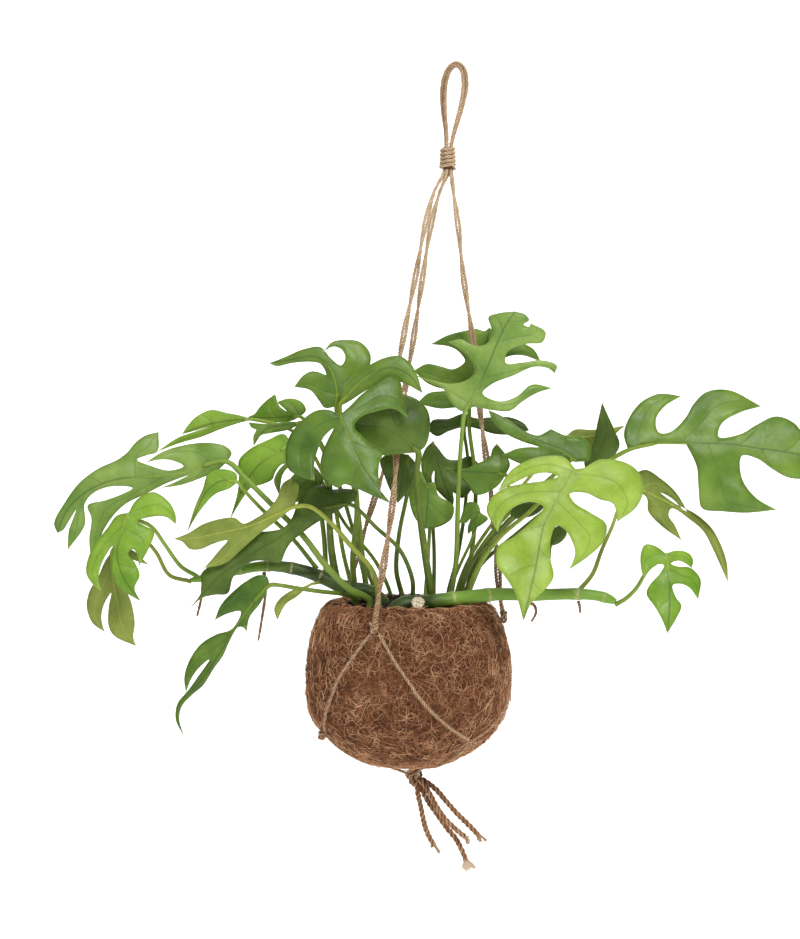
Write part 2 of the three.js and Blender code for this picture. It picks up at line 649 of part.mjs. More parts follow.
    rib: [[-41, 70], [-52, 69], [-62, 65], [-72, 59], [-84, 50], [-97, 42], [-110, 34], [-130, 20], [-150, -2]],
    sides: [
      { lobes: [
        { edge: [[-36, 73], [-35, 78.5], [-44, 80.5], [-52, 80], [-60, 83], [-68, 80], [-75, 72]], notch: [-80, 60] },
        { edge: [[-86, 53.5], [-94, 51.5], [-104, 50], [-116, 41], [-132, 30], [-142, 22], [-142, 10]] },
      ] },
      { lobes: [
        { edge: [[-47, 66], [-54, 62], [-63, 57]], notch: [-74, 49] },
        { edge: [[-80, 44], [-84, 38], [-88, 29.5], [-97, 31], [-108, 30], [-120, 20]], notch: [-124, 8.5] },
        { edge: [[-133, 7.5], [-142, 5]] },
      ] },
    ],
    stalk: { foot: [3, -19], route: [[3, 18, -25], [-6, 39, -32], [-22, 54, -36], [-35, 67, -37]], thick: 1.8 },
  },
  {
    name: 'leaf_left_inner', look: GREEN, depth: -24, slope: [0, 0.1],
    rib: [[-61.8, 93.5], [-70, 85], [-78, 78], [-88, 72.5]],
    sides: [
      { lobes: [
        { edge: [[-67, 98], [-75, 100.5], [-83, 98.5], [-89, 93], [-92, 86]], tip: [-88.5, 76],
          back: [[-87.5, 83], [-86, 90], [-82, 95]], notch: [-76.5, 93] },
        { edge: [[-80, 88.5], [-85, 80]] },
      ] },
      { lobes: [{ edge: [[-58, 87], [-62, 80], [-69, 74.5], [-78, 71]] }] },
    ],
    stalk: { foot: [-12, 15], route: [[-22, 30, 15], [-43, 56, 9], [-56, 80, -12]], thick: 1.7, thin: 1, steps: 6 },
  },
  {
    name: 'leaf_left_broad', look: GREEN, depth: -22, slope: [0.08, 0.1],
    rib: [[-124, 99], [-138, 97.5], [-152, 92], [-175, 89], [-200, 87], [-220, 79], [-234, 66], [-241, 50]],
    sides: [
      { lobes: [
        { edge: [[-121, 105], [-125, 109.5], [-136, 112], [-150, 111], [-168, 106]], tip: [-180, 98.5],
          back: [[-170, 100.5], [-162, 100]], notch: [-154, 96] },
        { edge: [[-164, 93], [-176, 96]], notch: [-186, 100.5] },
        { edge: [[-179, 103.5], [-172, 106]], tip: [-171, 119.5], back: [[-180, 117], [-187, 112], [-193, 105]],
          notch: [-200, 100] },
        { edge: [[-213, 94], [-225, 85], [-235, 72], [-243, 57]] },
      ] },
      { lobes: [
        { edge: [[-131, 93], [-143, 87.5], [-156, 83]], tip: [-170, 81], back: [[-161, 84.5], [-156, 87]],
          notch: [-151, 89.5] },
        { edge: [[-165, 84.5], [-180, 77], [-194, 70], [-204, 60], [-211, 48]], tip: [-217, 25],
          back: [[-219, 45], [-217.5, 60], [-220, 69], [-208, 72.5], [-197, 76.5]], notch: [-189, 81] },
        { edge: [[-204, 82]], notch: [-216, 77.5] },
        { edge: [[-222, 70], [-222, 56]], tip: [-234, 38], back: [[-233, 52], [-230, 60]], notch: [-228, 66] },
        { edge: [[-233, 58], [-237, 52]] },
      ] },
    ],
    stalk: { foot: [-26, -25], route: [[-41, 12, -31], [-56, 27, -35], [-72, 48, -29], [-92, 68, -25], [-112, 88, -23]],
      thick: 3, thin: 1.5, steps: 10 },
  },
  {
    name: 'leaf_left_lime', look: LIME, depth: -48, slope: [0.02, 0.15],
    rib: [[-192, 64], [-197, 50], [-200, 36], [-196, 20], [-184, 3]],
    sides: [
      { lobes: [
        { edge: [[-188, 71], [-182, 76], [-174, 78], [-164, 71], [-159.5, 62]], tip: [-159.5, 56],
          back: [[-166, 61], [-174, 61.5]], notch: [-186, 58] },
        { edge: [[-180, 54.5], [-174.5, 51], [-177, 42]], tip: [-185, 27], back: [[-186, 35], [-189, 39]],
          notch: [-192.5, 36] },
        { edge: [[-188, 30], [-184.5, 21], [-188, 12]] },
      ] },
      { lobes: [
        { edge: [[-200, 62], [-206, 54], [-214, 44], [-220, 32], [-221, 22], [-216, 14]], tip: [-211, 10],
          back: [[-213, 18], [-211, 28], [-207, 36]], notch: [-203, 41] },
        { edge: [[-204, 31], [-203, 20], [-198, 12]] },
      ] },
    ],
    stalk: { route: [[-147, 21.4, -14], [-156, 27, -18], [-167, 42, -28], [-177, 55, -38]],
      thick: 1.6, steps: 6 },
  },
  {
    name: 'leaf_left_olive', look: OLIVE, depth: -28, slope: [0, 0.12],
    rib: [[-203, 38], [-203, 22], [-200, 4], [-197, -12], [-187, -28]],
    sides: [
      { lobes: [
        { edge: [[-208, 31], [-213, 20], [-219, 10], [-221, -1], [-217, -12]], tip: [-209, -18],
          back: [[-211, -8], [-209, 1]], notch: [-204, 9] },
        { edge: [[-206, -2], [-206, -14], [-202, -21]] },
      ] },
      { lobes: [
        { edge: [[-196, 40], [-189, 38]], tip: [-178, 28], back: [[-186, 30.5], [-192, 32]], notch: [-198, 27] },
        { edge: [[-195, 14], [-190, 1], [-188, -12], [-189, -22]] },
      ] },
    ],
    stalk: { route: [[-151.2, 17.2, -12.3], [-164, 21, -14], [-174, 38, -20], [-188, 50, -26]],
      thick: 1.5, steps: 7 },
  },
  {
    name: 'leaf_left_upper', look: LIME, depth: 4, slope: [0, 0.1],
    rib: [[-106, 128], [-120, 127.5], [-135, 125], [-147, 121.5], [-155, 118]],
    sides: [
      { lobes: [{ edge: [[-114, 130.5], [-124, 132.5], [-135, 134.5], [-145, 130], [-151, 124]] }] },
      { lobes: [
        { edge: [[-116, 125.5], [-128, 121.5], [-142, 116], [-156, 112]], tip: [-172, 106],
          back: [[-158, 115.5], [-147, 119.5]], notch: [-137, 123] },
        { edge: [[-147, 120]] },
      ] },
    ],
    stalk: { foot: [-38, 9], route: [[-44, 34, 6], [-54, 80, 5], [-76, 118, 5]], thick: 1.9, thin: 1 },
  },
  {
    name: 'leaf_left_light', look: LIME, depth: 14, slope: [0, 0.1],
    rib: [[-74, 130], [-86, 129.5], [-98, 129], [-110, 129.5]],
    sides: [
      { lobes: [
        { edge: [[-70, 134], [-73, 140], [-81, 142.5]], tip: [-90, 140], back: [[-86, 136.5]], notch: [-83, 133.5] },
        { edge: [[-88, 137]], tip: [-91, 145.5], back: [[-97, 141], [-102, 136]], notch: [-105, 132] },
        { edge: [[-108, 130.5]] },
      ] },
      { lobes: [{ edge: [[-80, 127], [-92, 126], [-103, 127.5]] }] },
    ],
    stalk: { foot: [-28, 16], route: [[-34, 36, 16], [-46, 80, 15], [-62, 116, 14]], thick: 1.8, thin: 1 },
  },
  {
    name: 'leaf_left_pointed', look: GREEN, depth: -4, slope: [0, 0.1],
    rib: [[-72, 126], [-86, 124], [-98, 121], [-106, 110]],
    sides: [
      { lobes: [
        { edge: [[-82, 126.5], [-95, 125]], tip: [-109.5, 126], back: [[-107, 122]], notch: [-104, 121] },
        { edge: [[-106, 117]] },
      ] },
      { lobes: [{ edge: [[-82, 121], [-95, 118.5], [-101, 117]] }] },
    ],
    stalk: { foot: [-22, 6], route: [[-34, 40, 2], [-48, 84, -2], [-63, 115, -4]], thick: 1.6, thin: 1 },
  },
  {
    name: 'leaf_left_narrow', look: LIME, depth: -34, slope: [0, 0.05],
    rib: [[-117, 85], [-128, 86], [-138, 79], [-145, 66], [-152, 50]],
    sides: [
      { lobes: [{ edge: [[-118, 91], [-128, 94], [-137, 91], [-141, 80], [-146, 69]] }] },
      { lobes: [{ edge: [[-122, 81], [-132, 77], [-140, 69], [-147, 59]] }] },
    ],
    stalk: { route: [[-64, 27.3, -16], [-80, 47, -16], [-100, 66, -18], [-113, 80, -28]],
      thick: 1.7, thin: 1 },
  },
  {
    name: 'leaf_left_drooping', look: GREEN, depth: -44, slope: [0, 0.12],
    rib: [[-95, 14], [-105, 4], [-114, -8], [-122, -21], [-131, -35], [-141, -50], [-150, -60], [-158, -69],
      [-159, -79], [-154, -91]],
    sides: [
      { lobes: [
        { edge: [[-97, 20], [-103, 21], [-111, 17], [-121, 9], [-129, 0]], tip: [-133, -10], back: [[-124, -5.5]],
          notch: [-115, -4] },
        { edge: [[-121, -16], [-132, -20], [-143, -27], [-151, -39], [-154, -50]], tip: [-153, -60],
          back: [[-149, -50], [-143, -42]], notch: [-136.5, -37] },
        { edge: [[-144, -48], [-151, -58], [-159, -68], [-160, -79]] },
      ] },
      { lobes: [
        { edge: [[-102, 1], [-109, -8]], tip: [-111, -18], back: [[-113.5, -15]], notch: [-117, -15] },
        { edge: [[-123, -25], [-127, -34], [-134, -44], [-141, -55], [-149, -62], [-156, -70], [-157.5, -79]] },
      ] },
    ],
    stalk: { foot: [-35, -18], route: [[-45, 8, -26], [-58, 9.5, -37], [-76, 12, -42], [-88, 14, -44]],
      thick: 1.7,
      thin: 1.3 },
  },
  {
    name: 'leaf_left_tendril', look: OLIVE, depth: -32, slope: [0, 0.1],
    rib: [[-68, 14], [-78, 9], [-86, 3], [-90, -10]],
    sides: [
      { lobes: [{ edge: [[-78, 11.5], [-88, 5], [-92, -2]] }] },
      { lobes: [{ edge: [[-76, 6.5], [-84, 1]] }] },
    ],
    stalk: { route: [[-59.3, 16.4, -22.8], [-63, 15.5, -28.5], [-66, 15, -31]],
      thick: 1, thin: 0.8, steps: 3 },
  },
];

// Vines, old stem and aerial roots

const VINES = [
  { name: 'vine_left', thick: 6, thin: 2.4, steps: 20, foot: [-16, -8],
    route: [[-26, 9, -12], [-42, 12, -16], [-58, 19, -18], [-72, 24, -19], [-88, 27, -20], [-102, 27, -20],
      [-118, 24, -18], [-134, 20, -15], [-150, 17.5, -12]] },
  { name: 'vine_right', thick: 6.2, thin: 3.3, steps: 19, foot: [-9, -32.5],
    route: [[-2, 1, -31.5], [6.5, 1.5, -30], [17, 2.8, -34], [30, 4.4, -31], [44, 6.2, -26], [60, 7.8, -20],
      [88, 7.5, -20], [118, 8, -18], [132, 6.5, -17], [143, 2.8, -17]] },
];

function vine({ thick, thin, steps, foot: [x, y], route }, clearance = 0) {
  const path = [new THREE.Vector3(x, y, -FOOT_DEPTH - clearance), new THREE.Vector3(x, y, -1), ...route.map(seen)];
  return stalk(path, thick + clearance, thin + clearance, steps, 8);
}

const CUT_STEM = { radius: 4.8, length: 6, rise: 0.6, centre: [6.5, -41.8, 5] };

// The cut end of an old stem, a short stump in front of the creeping one that faces up and to the front.
function cutStem(clearance = 0) {
  const radius = CUT_STEM.radius + clearance;
  const stump = new THREE.CylinderGeometry(radius, radius, CUT_STEM.length + 2 * clearance, 12);
  stump.rotateX(-CUT_STEM.rise);
  stump.translate(...CUT_STEM.centre);
  return stump;
}

const ROOTS = [
  { name: 'root_left_long', route: [[-99, 23.3, -20], [-98, 10, -21], [-101, -12, -21], [-103, -24, -20]] },
  { name: 'root_left_short', route: [[-141, 15.4, -14], [-142, 6, -14], [-145, -7, -13]] },
  { name: 'root_right_long', route: [[84, 2, -20], [87, 0, -20], [88, -5, -21], [85, -11, -21]] },
  { name: 'root_right_short', route: [[117, 3.2, -18], [118, 0, -18], [118.5, -5, -18]] },
];

function addRoots() {
  for (const { name, route } of ROOTS) {
    addPiece(name, ROOT, solidOf(stalk(route.map(seen), 1.1, 0.7, 7)));
  }
}

// Ball

const SHELL_OUTSIDE = [[0, BALL_BOTTOM], [14, -109.7], [27, -107], [40, -101.5], [51, -94], [60, -85], [66.5, -74],
  [69.5, -62], [BALL_RADIUS, -48], [69, -34], [66.5, -21], [62.5, -9], [58, -1], [52, 3], [MOUTH_RADIUS, 1]];
const SHELL_INSIDE = [[46, -7], [57, -20], [62, -40], [61, -64], [50, -84], [26, -97.5], [0, -101]];
const BALL_SIDES = 32;
const SOIL_SIDES = 18;
const SOIL_SURFACE = [[MOUTH_RADIUS - 2.5, -1], [34, 2.5], [18, SOIL_TOP - 1], [0, SOIL_TOP]];

function turned(profile, sides) {
  const lathe = new THREE.LatheGeometry(profile.map(([r, z]) => new THREE.Vector2(r, z)), sides);
  lathe.rotateX(Math.PI / 2);
  return lathe;
}

function outward(geometry) {
  const solid = solidOf(geometry);
  if (solid.volume() > 0) return solid;
  const turnedOver = geometry.clone();
  turnedOver.index.array.reverse();
  return solidOf(turnedOver);
}

function pottingMix() {
  const inside = SHELL_INSIDE.map(([r, z]) => [Math.max(r - SOIL_INSET, 0), z + SOIL_CLEARANCE]);
  const profile = [...inside.reverse(), ...SOIL_SURFACE];
  let mix = outward(turned(profile, SOIL_SIDES));
  for (const { x, y, radius } of feet) {
    const hole = new THREE.CylinderGeometry(radius + FOOT_CLEARANCE, radius + FOOT_CLEARANCE, HOLE_HEIGHT, 6);
    hole.rotateX(Math.PI / 2);
    hole.translate(x, y, HOLE_HEIGHT / 2 - FOOT_DEPTH - GAP);
    mix = mix.subtract(solidOf(hole));
  }
  for (const stem of VINES) mix = mix.subtract(solidOf(vine(stem, SOIL_CLEARANCE)));
  return mix.subtract(outward(cutStem(SOIL_CLEARANCE)));
}

// Hanger

// A place on the ball's outside, at an angle round it in degrees and a height, lifted clear of the fibre.
function onBall([degrees, z], lift = TWINE / 2 + NET_SPACING) {
  let i = 1;
  while (SHELL_OUTSIDE[i][1] < z) i += 1;
  const [[r0, z0], [r1, z1]] = [SHELL_OUTSIDE[i - 1], SHELL_OUTSIDE[i]];
  const share = (z - z0) / (z1 - z0);
  const out = new THREE.Vector2(z1 - z0, r0 - r1).setLength(lift);
  const radius = r0 + (r1 - r0) * share + out.x;
  const angle = THREE.MathUtils.degToRad(degrees);
  return new THREE.Vector3(radius * Math.cos(angle), radius * Math.sin(angle), z + out.y);
}

const LOOP_KNOT = { x: 27, z: 306, radius: 6, height: 16 };
const LOOP_WIDTH = 17;
// The loop's three turns of twine: half widths as shares of the loop's own, at shares of its height.
const LOOP_SHAPE = [[-0.12, 0], [-0.35, 0.25], [-0.85, 0.55], [-1, 0.78], [-0.62, 0.95], [0, 1], [0.62, 0.95],
  [1, 0.78], [0.85, 0.55], [0.35, 0.25], [0.12, 0]];
const OUTER_TURNS = { narrower: 0.12, lower: 2 };
const LEG_DROP = 1.15;
// Where the two strands of each leg leave the loop's knot, in degrees round it.
const LEG_STARTS = { front: [150, 210], right: [-30, 30], back: [90, 270] };
const CLOSING = 0.4;
const UPPER_KNOT = 3.8;
const LOWER_KNOT = 3.5;
const UPPER_KNOTS = { front: [-110, -9], right: [4, -9], back: [135, -9] };
const LOWER_KNOTS = { left: [-158, -84], right: [-46, -86], back: [75, -85] };
const LEGS = {
  front: [[18, 284, -4], [12, 262, -7], [5, 225, -12], [-3, 185, -18], [-7, 160, -22], [-7.5, 120, -29],
    [-9, 85, -38], [-14, 45, -52], [-19, 14, -62]],
  right: [[31, 284, 1], [34, 262, 2], [38, 225, 3], [44, 185, 3], [47, 158, 3], [50, 128, 3], [54, 100, 3],
    [58, 68, 4], [61, 35, 5], [63, 8, 5]],
  back: [[22, 284, 3], [16, 262, 7], [10, 225, 13], [4, 185, 19], [-2, 150, 25], [-10, 115, 31], [-21, 80, 38],
    [-32, 45, 44], [-41, 14, 48]],
};
const NET = [
  [[-112.7, -12.8], [-122, -28], [-131, -43], [-136, -55], [-144, -69], LOWER_KNOTS.left],
  [[-107.3, -12.8], [-98, -29], [-90, -43], [-82, -57], [-71, -70], [-58, -80], LOWER_KNOTS.right],
  [[1.5, -13.3], [-1, -33], [-7, -48], [-15, -62], [-27, -76], [-38, -83], LOWER_KNOTS.right],
  [[6.6, -13.3], [17, -33], [30, -50], [42, -66], [57, -79], LOWER_KNOTS.back],
  [[137.7, -12.8], [149, -31], [161, -47], [172, -62], [186, -76], [202, -84]],
  [[132.3, -12.8], [122, -33], [112, -50], [102, -66], [89, -79], LOWER_KNOTS.back],
];
const UNDERSIDE = [-92, -98, -103, -107, -109.6];
const BOTTOM_KNOT = new THREE.Vector3(4, 0, -118);
const BOTTOM_KNOT_RADII = [6, 6, 7];
const BOTTOM_KNOT_LEAN = -0.5;

function hangerLoop() {
  const { x, z, radius, height } = LOOP_KNOT;
  const lean = (LOOP_TOP.x - x) / (LOOP_TOP.z - z);
  const top = LOOP_TOP.z + TWINE / 2;
  const cords = [-1, 0, 1].map((row) => {
    const half = (LOOP_WIDTH / 2) * (1 - OUTER_TURNS.narrower * Math.abs(row));
    const reach = top - z - OUTER_TURNS.lower * Math.abs(row);
    return twine(LOOP_SHAPE.map(([across, up]) => new THREE.Vector3(
      x + across * half + lean * up * reach, row * (TWINE + GAP), z + up * reach)), 18, 6);
  });
  const wrap = new THREE.CylinderGeometry(radius * 0.8, radius, height, 12);
  wrap.rotateX(Math.PI / 2);
  wrap.translate(x, 0, z);
  return fuse([wrap, ...cords]);
}

function hangerLeg(key) {
  const bottom = LOOP_KNOT.z - LOOP_KNOT.height / 2 - LEG_DROP;
  const end = onBall(UPPER_KNOTS[key], UPPER_KNOT + KNOT_SPACING);
  const strands = LEG_STARTS[key].map((degrees, i) => {
    const start = new THREE.Vector3(PAIR_SPACING, 0, bottom)
      .applyAxisAngle(new THREE.Vector3(0, 0, 1), THREE.MathUtils.degToRad(degrees));
    start.x += LOOP_KNOT.x;
    const side = new THREE.Vector3((i ? 1 : -1) * (PAIR_SPACING / 2), 0, 0);
    const run = LEGS[key].map((place) => seen(place).add(side));
    return twine([start, ...run, end.clone().addScaledVector(side, CLOSING)], 18, 6);
  });
  return fuse([...strands, knot(end, [UPPER_KNOT, UPPER_KNOT, UPPER_KNOT * 1.3])]);
}

function hangerNet() {
  const strands = NET.map((route) => twine(route.map((place) => onBall(place)), 9, 6));
  const under = Object.values(LOWER_KNOTS).map(([degrees, z]) => twine(
    [onBall([degrees, z]), ...UNDERSIDE.map((low) => onBall([degrees, low])), BOTTOM_KNOT], 7, 6));
  const knots = Object.values(LOWER_KNOTS).map((place) => {
    return knot(onBall(place, LOWER_KNOT + KNOT_SPACING), [LOWER_KNOT, LOWER_KNOT, LOWER_KNOT]);
  });
  return fuse([...strands, ...under, ...knots, knot(BOTTOM_KNOT, BOTTOM_KNOT_RADII, BOTTOM_KNOT_LEAN)]);
}

const TAILS = [
  [[6.3, -124.9, -2], [7, -131, -3], [9, -140, -3], [11, -150, -2], [14, -159, -1], [18, -166, 0]],
  [[10.1, -122.4, -2.9], [15, -130, -4], [19, -138, -4], [25, -147, -4], [32, -154, -4], [39, -160, -3]],
  [[7.9, -123.9, 1.8], [13, -134, 3], [19, -143, 4], [26, -153, 4], [34, -163, 4], [40, -176, 3]],
  [[10.9, -120.8, 0.6], [19, -127, 1], [26, -135, 1], [34, -144, 1], [42, -152, 0], [48.5, -159, 0]],
];

function addTails() {
  TAILS.forEach((route, i) => {
    addPiece(`hanger_tail_${i + 1}`, JUTE, solidOf(twine(route.map(seen), 8, 8, TAIL)));
  });
}

LEAVES.forEach(addLeaf);
for (const stem of VINES) addPiece(stem.name, STEM, solidOf(vine(stem)));
addRoots();
addPiece('cut_stem', CUT, outward(cutStem()));
addPiece('coir_shell', COIR, outward(turned([...SHELL_OUTSIDE, ...SHELL_INSIDE], BALL_SIDES)));
addPiece('potting_mix', SOIL, pottingMix());
addPiece('hanger_loop', JUTE, hangerLoop());
for (const key of Object.keys(LEGS)) addPiece(`hanger_leg_${key}`, JUTE, hangerLeg(key));
addPiece('hanger_net', JUTE, hangerNet());
addTails();

export default plant;
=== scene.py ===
import math

import bpy
import numpy as np
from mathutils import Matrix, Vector, noise
from mathutils.geometry import delaunay_2d_cdt


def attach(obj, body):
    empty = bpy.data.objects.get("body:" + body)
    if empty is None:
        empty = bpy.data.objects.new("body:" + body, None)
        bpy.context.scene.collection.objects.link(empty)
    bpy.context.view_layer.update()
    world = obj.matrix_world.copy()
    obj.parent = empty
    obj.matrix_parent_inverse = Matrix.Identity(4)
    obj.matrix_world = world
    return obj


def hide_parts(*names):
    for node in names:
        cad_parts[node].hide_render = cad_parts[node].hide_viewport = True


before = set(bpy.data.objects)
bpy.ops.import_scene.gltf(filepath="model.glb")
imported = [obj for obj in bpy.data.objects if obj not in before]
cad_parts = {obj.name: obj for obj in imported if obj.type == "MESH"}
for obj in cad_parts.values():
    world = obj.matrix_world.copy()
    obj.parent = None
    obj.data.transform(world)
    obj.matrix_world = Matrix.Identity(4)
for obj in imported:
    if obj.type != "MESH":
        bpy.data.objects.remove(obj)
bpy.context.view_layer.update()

MM = 0.001
NEARLY_NOTHING = 1e-12
EYE = (-5.5, 1400, 142.6)
LOOP_TOP = (33, 0, 370)
SEEDS = dict(soil=11, loop=21, net=31, tails=40, legs=50)

# Camera, stage and lights, in metres in the row frame. A light is its place, size and power in watts.
CAMERA_PLACE = (-0.0385, -1.4, -0.2274)
CAMERA_AIM = (-0.0385, 0, -0.2763)
CAMERA_LENS = 78.26
SENSOR_WIDTH = 36
FLOOR_HEIGHT = -0.66
FLOOR_FRONT = -4
FLOOR_SIDES = (-5, 5)
FLOOR_BEND = 0.5
WALL_DEPTH = 1.6
WALL_TOP = 4
STAGE_WHITE = 0.93
STAGE_GLOW = 0.62
WORLD_LIGHT = 0.16
LIGHTS = {
  "key": ((0.6, -1.5, 1.1), 1.0, 46),
  "fill": ((-1.4, -1.3, 0.3), 1.2, 6),
  "top": ((0, 0.3, 1.5), 1.0, 10),
}

# Leaves. Their tissue rises by the quilting, but less within a hollow's width of a vein or the margin. Waves
# grow with the distance from the rib. A leaf's joint is counted in eighths of its rib.
PER_SEGMENT = 16
RIB_COUNT = 48
RIB_SHARES = 8
EDGE_STEP = 1.5
VEIN_STEP = 2
GRID_PITCHES = (1.6, 2.8)
GRID_ROWS = 26
BLADE = 0.6
QUILTING = 0.9
VEIN_HOLLOW = 4
MARGIN_HOLLOW = 3
WAVES = 1.5
FLAT_BY_RIB = 12
CUPPING = 0.002
NO_VEIN = 99.0
MIDRIB_SHIFT = 0.35
STALK_SIDES = 10
STALK_JOINT = dict(place=0.86, width=0.035, swelling=0.16)
MIDRIB_SIDES = 8
MIDRIB_END = 0.25
FOOT_HEIGHTS = (-12, -5, 0, 6)
SUNK_INTO_VINE = 2.5

# Vines and roots. Where a node is, and how wide its swelling and scar are, are shares of the vine's length.
STEM_STEPS = 14
VINE_SIDES = 20
VINE_TIP = 0.94
VINE_NODE = dict(width=0.014, swelling=0.1)
SCAR_WIDTH = 0.007
ROOT_SIDES = 10

# Twine. TWINE and TAIL are thicknesses in the CAD, the next three those of the dressed net, legs and tails.
# Thickness and paleness are given for both ends where they change on the way.
TWINE = 2.5
NET_TWINE = 2.25
LEG_TWINE = (2.15, 2.8)
TAIL_TWINE = 4.2
PALENESS = dict(loop=0.75, legs=(1, 0.4), net=0.5, knots=0.35, tails=0.22)
PAIR_SPACING = 2.85
PAIR_TURN = 80
PAIR_CLOSENESS = (0.74, 0.95)
PLY_PITCH = 2.7
PLY_SIDES = 12
TAIL_END = 4.5
PALE_TAIL = 3
PRESSED = 0.5
KNOT_STEPS = 90
KNOT_TURN = 1.57
HAIR_SPACING = 0.9
HAIR_REACH = (1.5, 4.5)
HAIR_RISE = (0.2, 1.3)
HAIR_THICKNESS = (0.06, 0.13)
HAIR_SHARES = (0, 0.35, 0.7, 1)
FRAY_RADII = (0.95, 1.0, 0.95, 0.85, 0.6)
FRAY_SHARES = (0, 0.25, 0.5, 0.75, 1)
FRAY_SPREAD = (2.2, 1.2, 1.2)
BRUSH_COUNTS = {False: 26, True: 60}
BRUSH_REACHES = {False: (1.5, 3.5), True: (3.5, 7)}
BRUSH_THICKNESS = (0.14, 0.24)
BRUSH_SHARES = (0, 0.33, 0.66, 1)

# Ball and soil, as profiles of [radius, height] from axis to axis
SHELL_OUTSIDE = [(0, -110.5), (14, -109.7), (27, -107), (40, -101.5), (51, -94), (60, -85), (66.5, -74),
  (69.5, -62), (70, -48), (69, -34), (66.5, -21), (62.5, -9), (58, -1), (52, 3), (47, 1)]
SHELL_INSIDE = [(46, -7), (57, -20), (62, -40), (61, -64), (50, -84), (26, -97.5), (0, -101)]
SHELL_SIDES = 200
SOIL_SURFACE = [(0, 4.5), (18, 4), (34, 1.8), (44, -1.4), (46, -8)]
SOIL_SIDES = 150
CRUMB = [(0, -0.6), (0.9, -0.5), (1, 0.1), (0.6, 0.6), (0, 0.7)]
CRUMB_COUNT = 420
FIBRE_STEPS = 8
FIBRES = {
  "fibres_deep": dict(count=4300, length=(10, 25), thickness=(0.15, 0.25), lift=(0.05, 0.6), curl=0.4,
    tones=(0, 0.6)),
  "fibres_mid": dict(count=4300, length=(8, 21), thickness=(0.13, 0.23), lift=(0.4, 1.3), curl=0.55,
    tones=(0.05, 0.9)),
  "fibres_top": dict(count=2600, length=(7, 17), thickness=(0.1, 0.18), lift=(1.0, 2.2), curl=0.72,
    tones=(0.2, 1)),
  "fibres_loose": dict(count=260, length=(12, 34), thickness=(0.08, 0.14), lift=(1.5, 4.5), curl=0.35,
    tones=(0.4, 1)),
}

# Two shades for the top of the blades, two for their underside and two for their stalks.
SHADES = {
  "green": (("#4a6820", "#688330"), ("#6b7e38", "#7d8c46"), ("#40581a", "#6a8426")),
  "fresh": (("#5e7d33", "#80994a"), ("#758942", "#87984f"), ("#465f1c", "#74903a")),
  "deep": (("#3b571c", "#5a7629"), ("#5c6f30", "#6e7f3c"), ("#3a5218", "#5c7624")),
  "vivid": (("#5c821e", "#7d9d34"), ("#738a3a", "#869c4a"), ("#587420", "#7f983a")),
  "lime": (("#78942e", "#92ab46"), ("#829644", "#92a253"), ("#5c7420", "#8aa03c")),
  "olive": (("#4f6923", "#6b8132"), ("#65742c", "#7f8b3d"), ("#586a1c", "#8c963c")),
  "dark": (("#334614", "#516825"), ("#495a26", "#5c6c34"), ("#304412", "#4c641c")),
}
# Leaves with other shades than those of their look.
TINTS = {
  "leaf_top": "fresh", "leaf_left_broad": "fresh",
  "leaf_centre_glossy": "deep", "leaf_left_drooping": "deep",
  "leaf_left_lime": "vivid", "leaf_left_upper": "vivid", "leaf_left_light": "vivid",
  "leaf_left_narrow": "vivid", "leaf_centre_bright": "vivid", "leaf_right_small": "vivid",
}


def lobe(edge, tip=None, back=(), notch=None):
    """A lobe's outer edge up to its tip, and its inner edge back to the notch before the next lobe."""
    return dict(edge=edge, tip=tip, back=back, notch=notch)


def half(*lobes, start=None):
    """One side of a blade, which starts at the rib's foot or at another place on the rib."""
    return dict(lobes=lobes, start=start)


def leaf(name, look, depth, slope, rib, *sides, route, foot=None, thick=2.2, thin=1.2, joint=0, arch=0,
         fold=0.1):
    """A leaf. Its stalk follows the route from a foot in the soil, or from a vine, to a joint on the rib."""
    return dict(name="leaf_" + name, look=look, depth=depth, slope=slope, rib=rib, sides=sides, route=route,
                foot=foot, thick=thick, thin=thin, joint=joint, arch=arch, fold=fold)


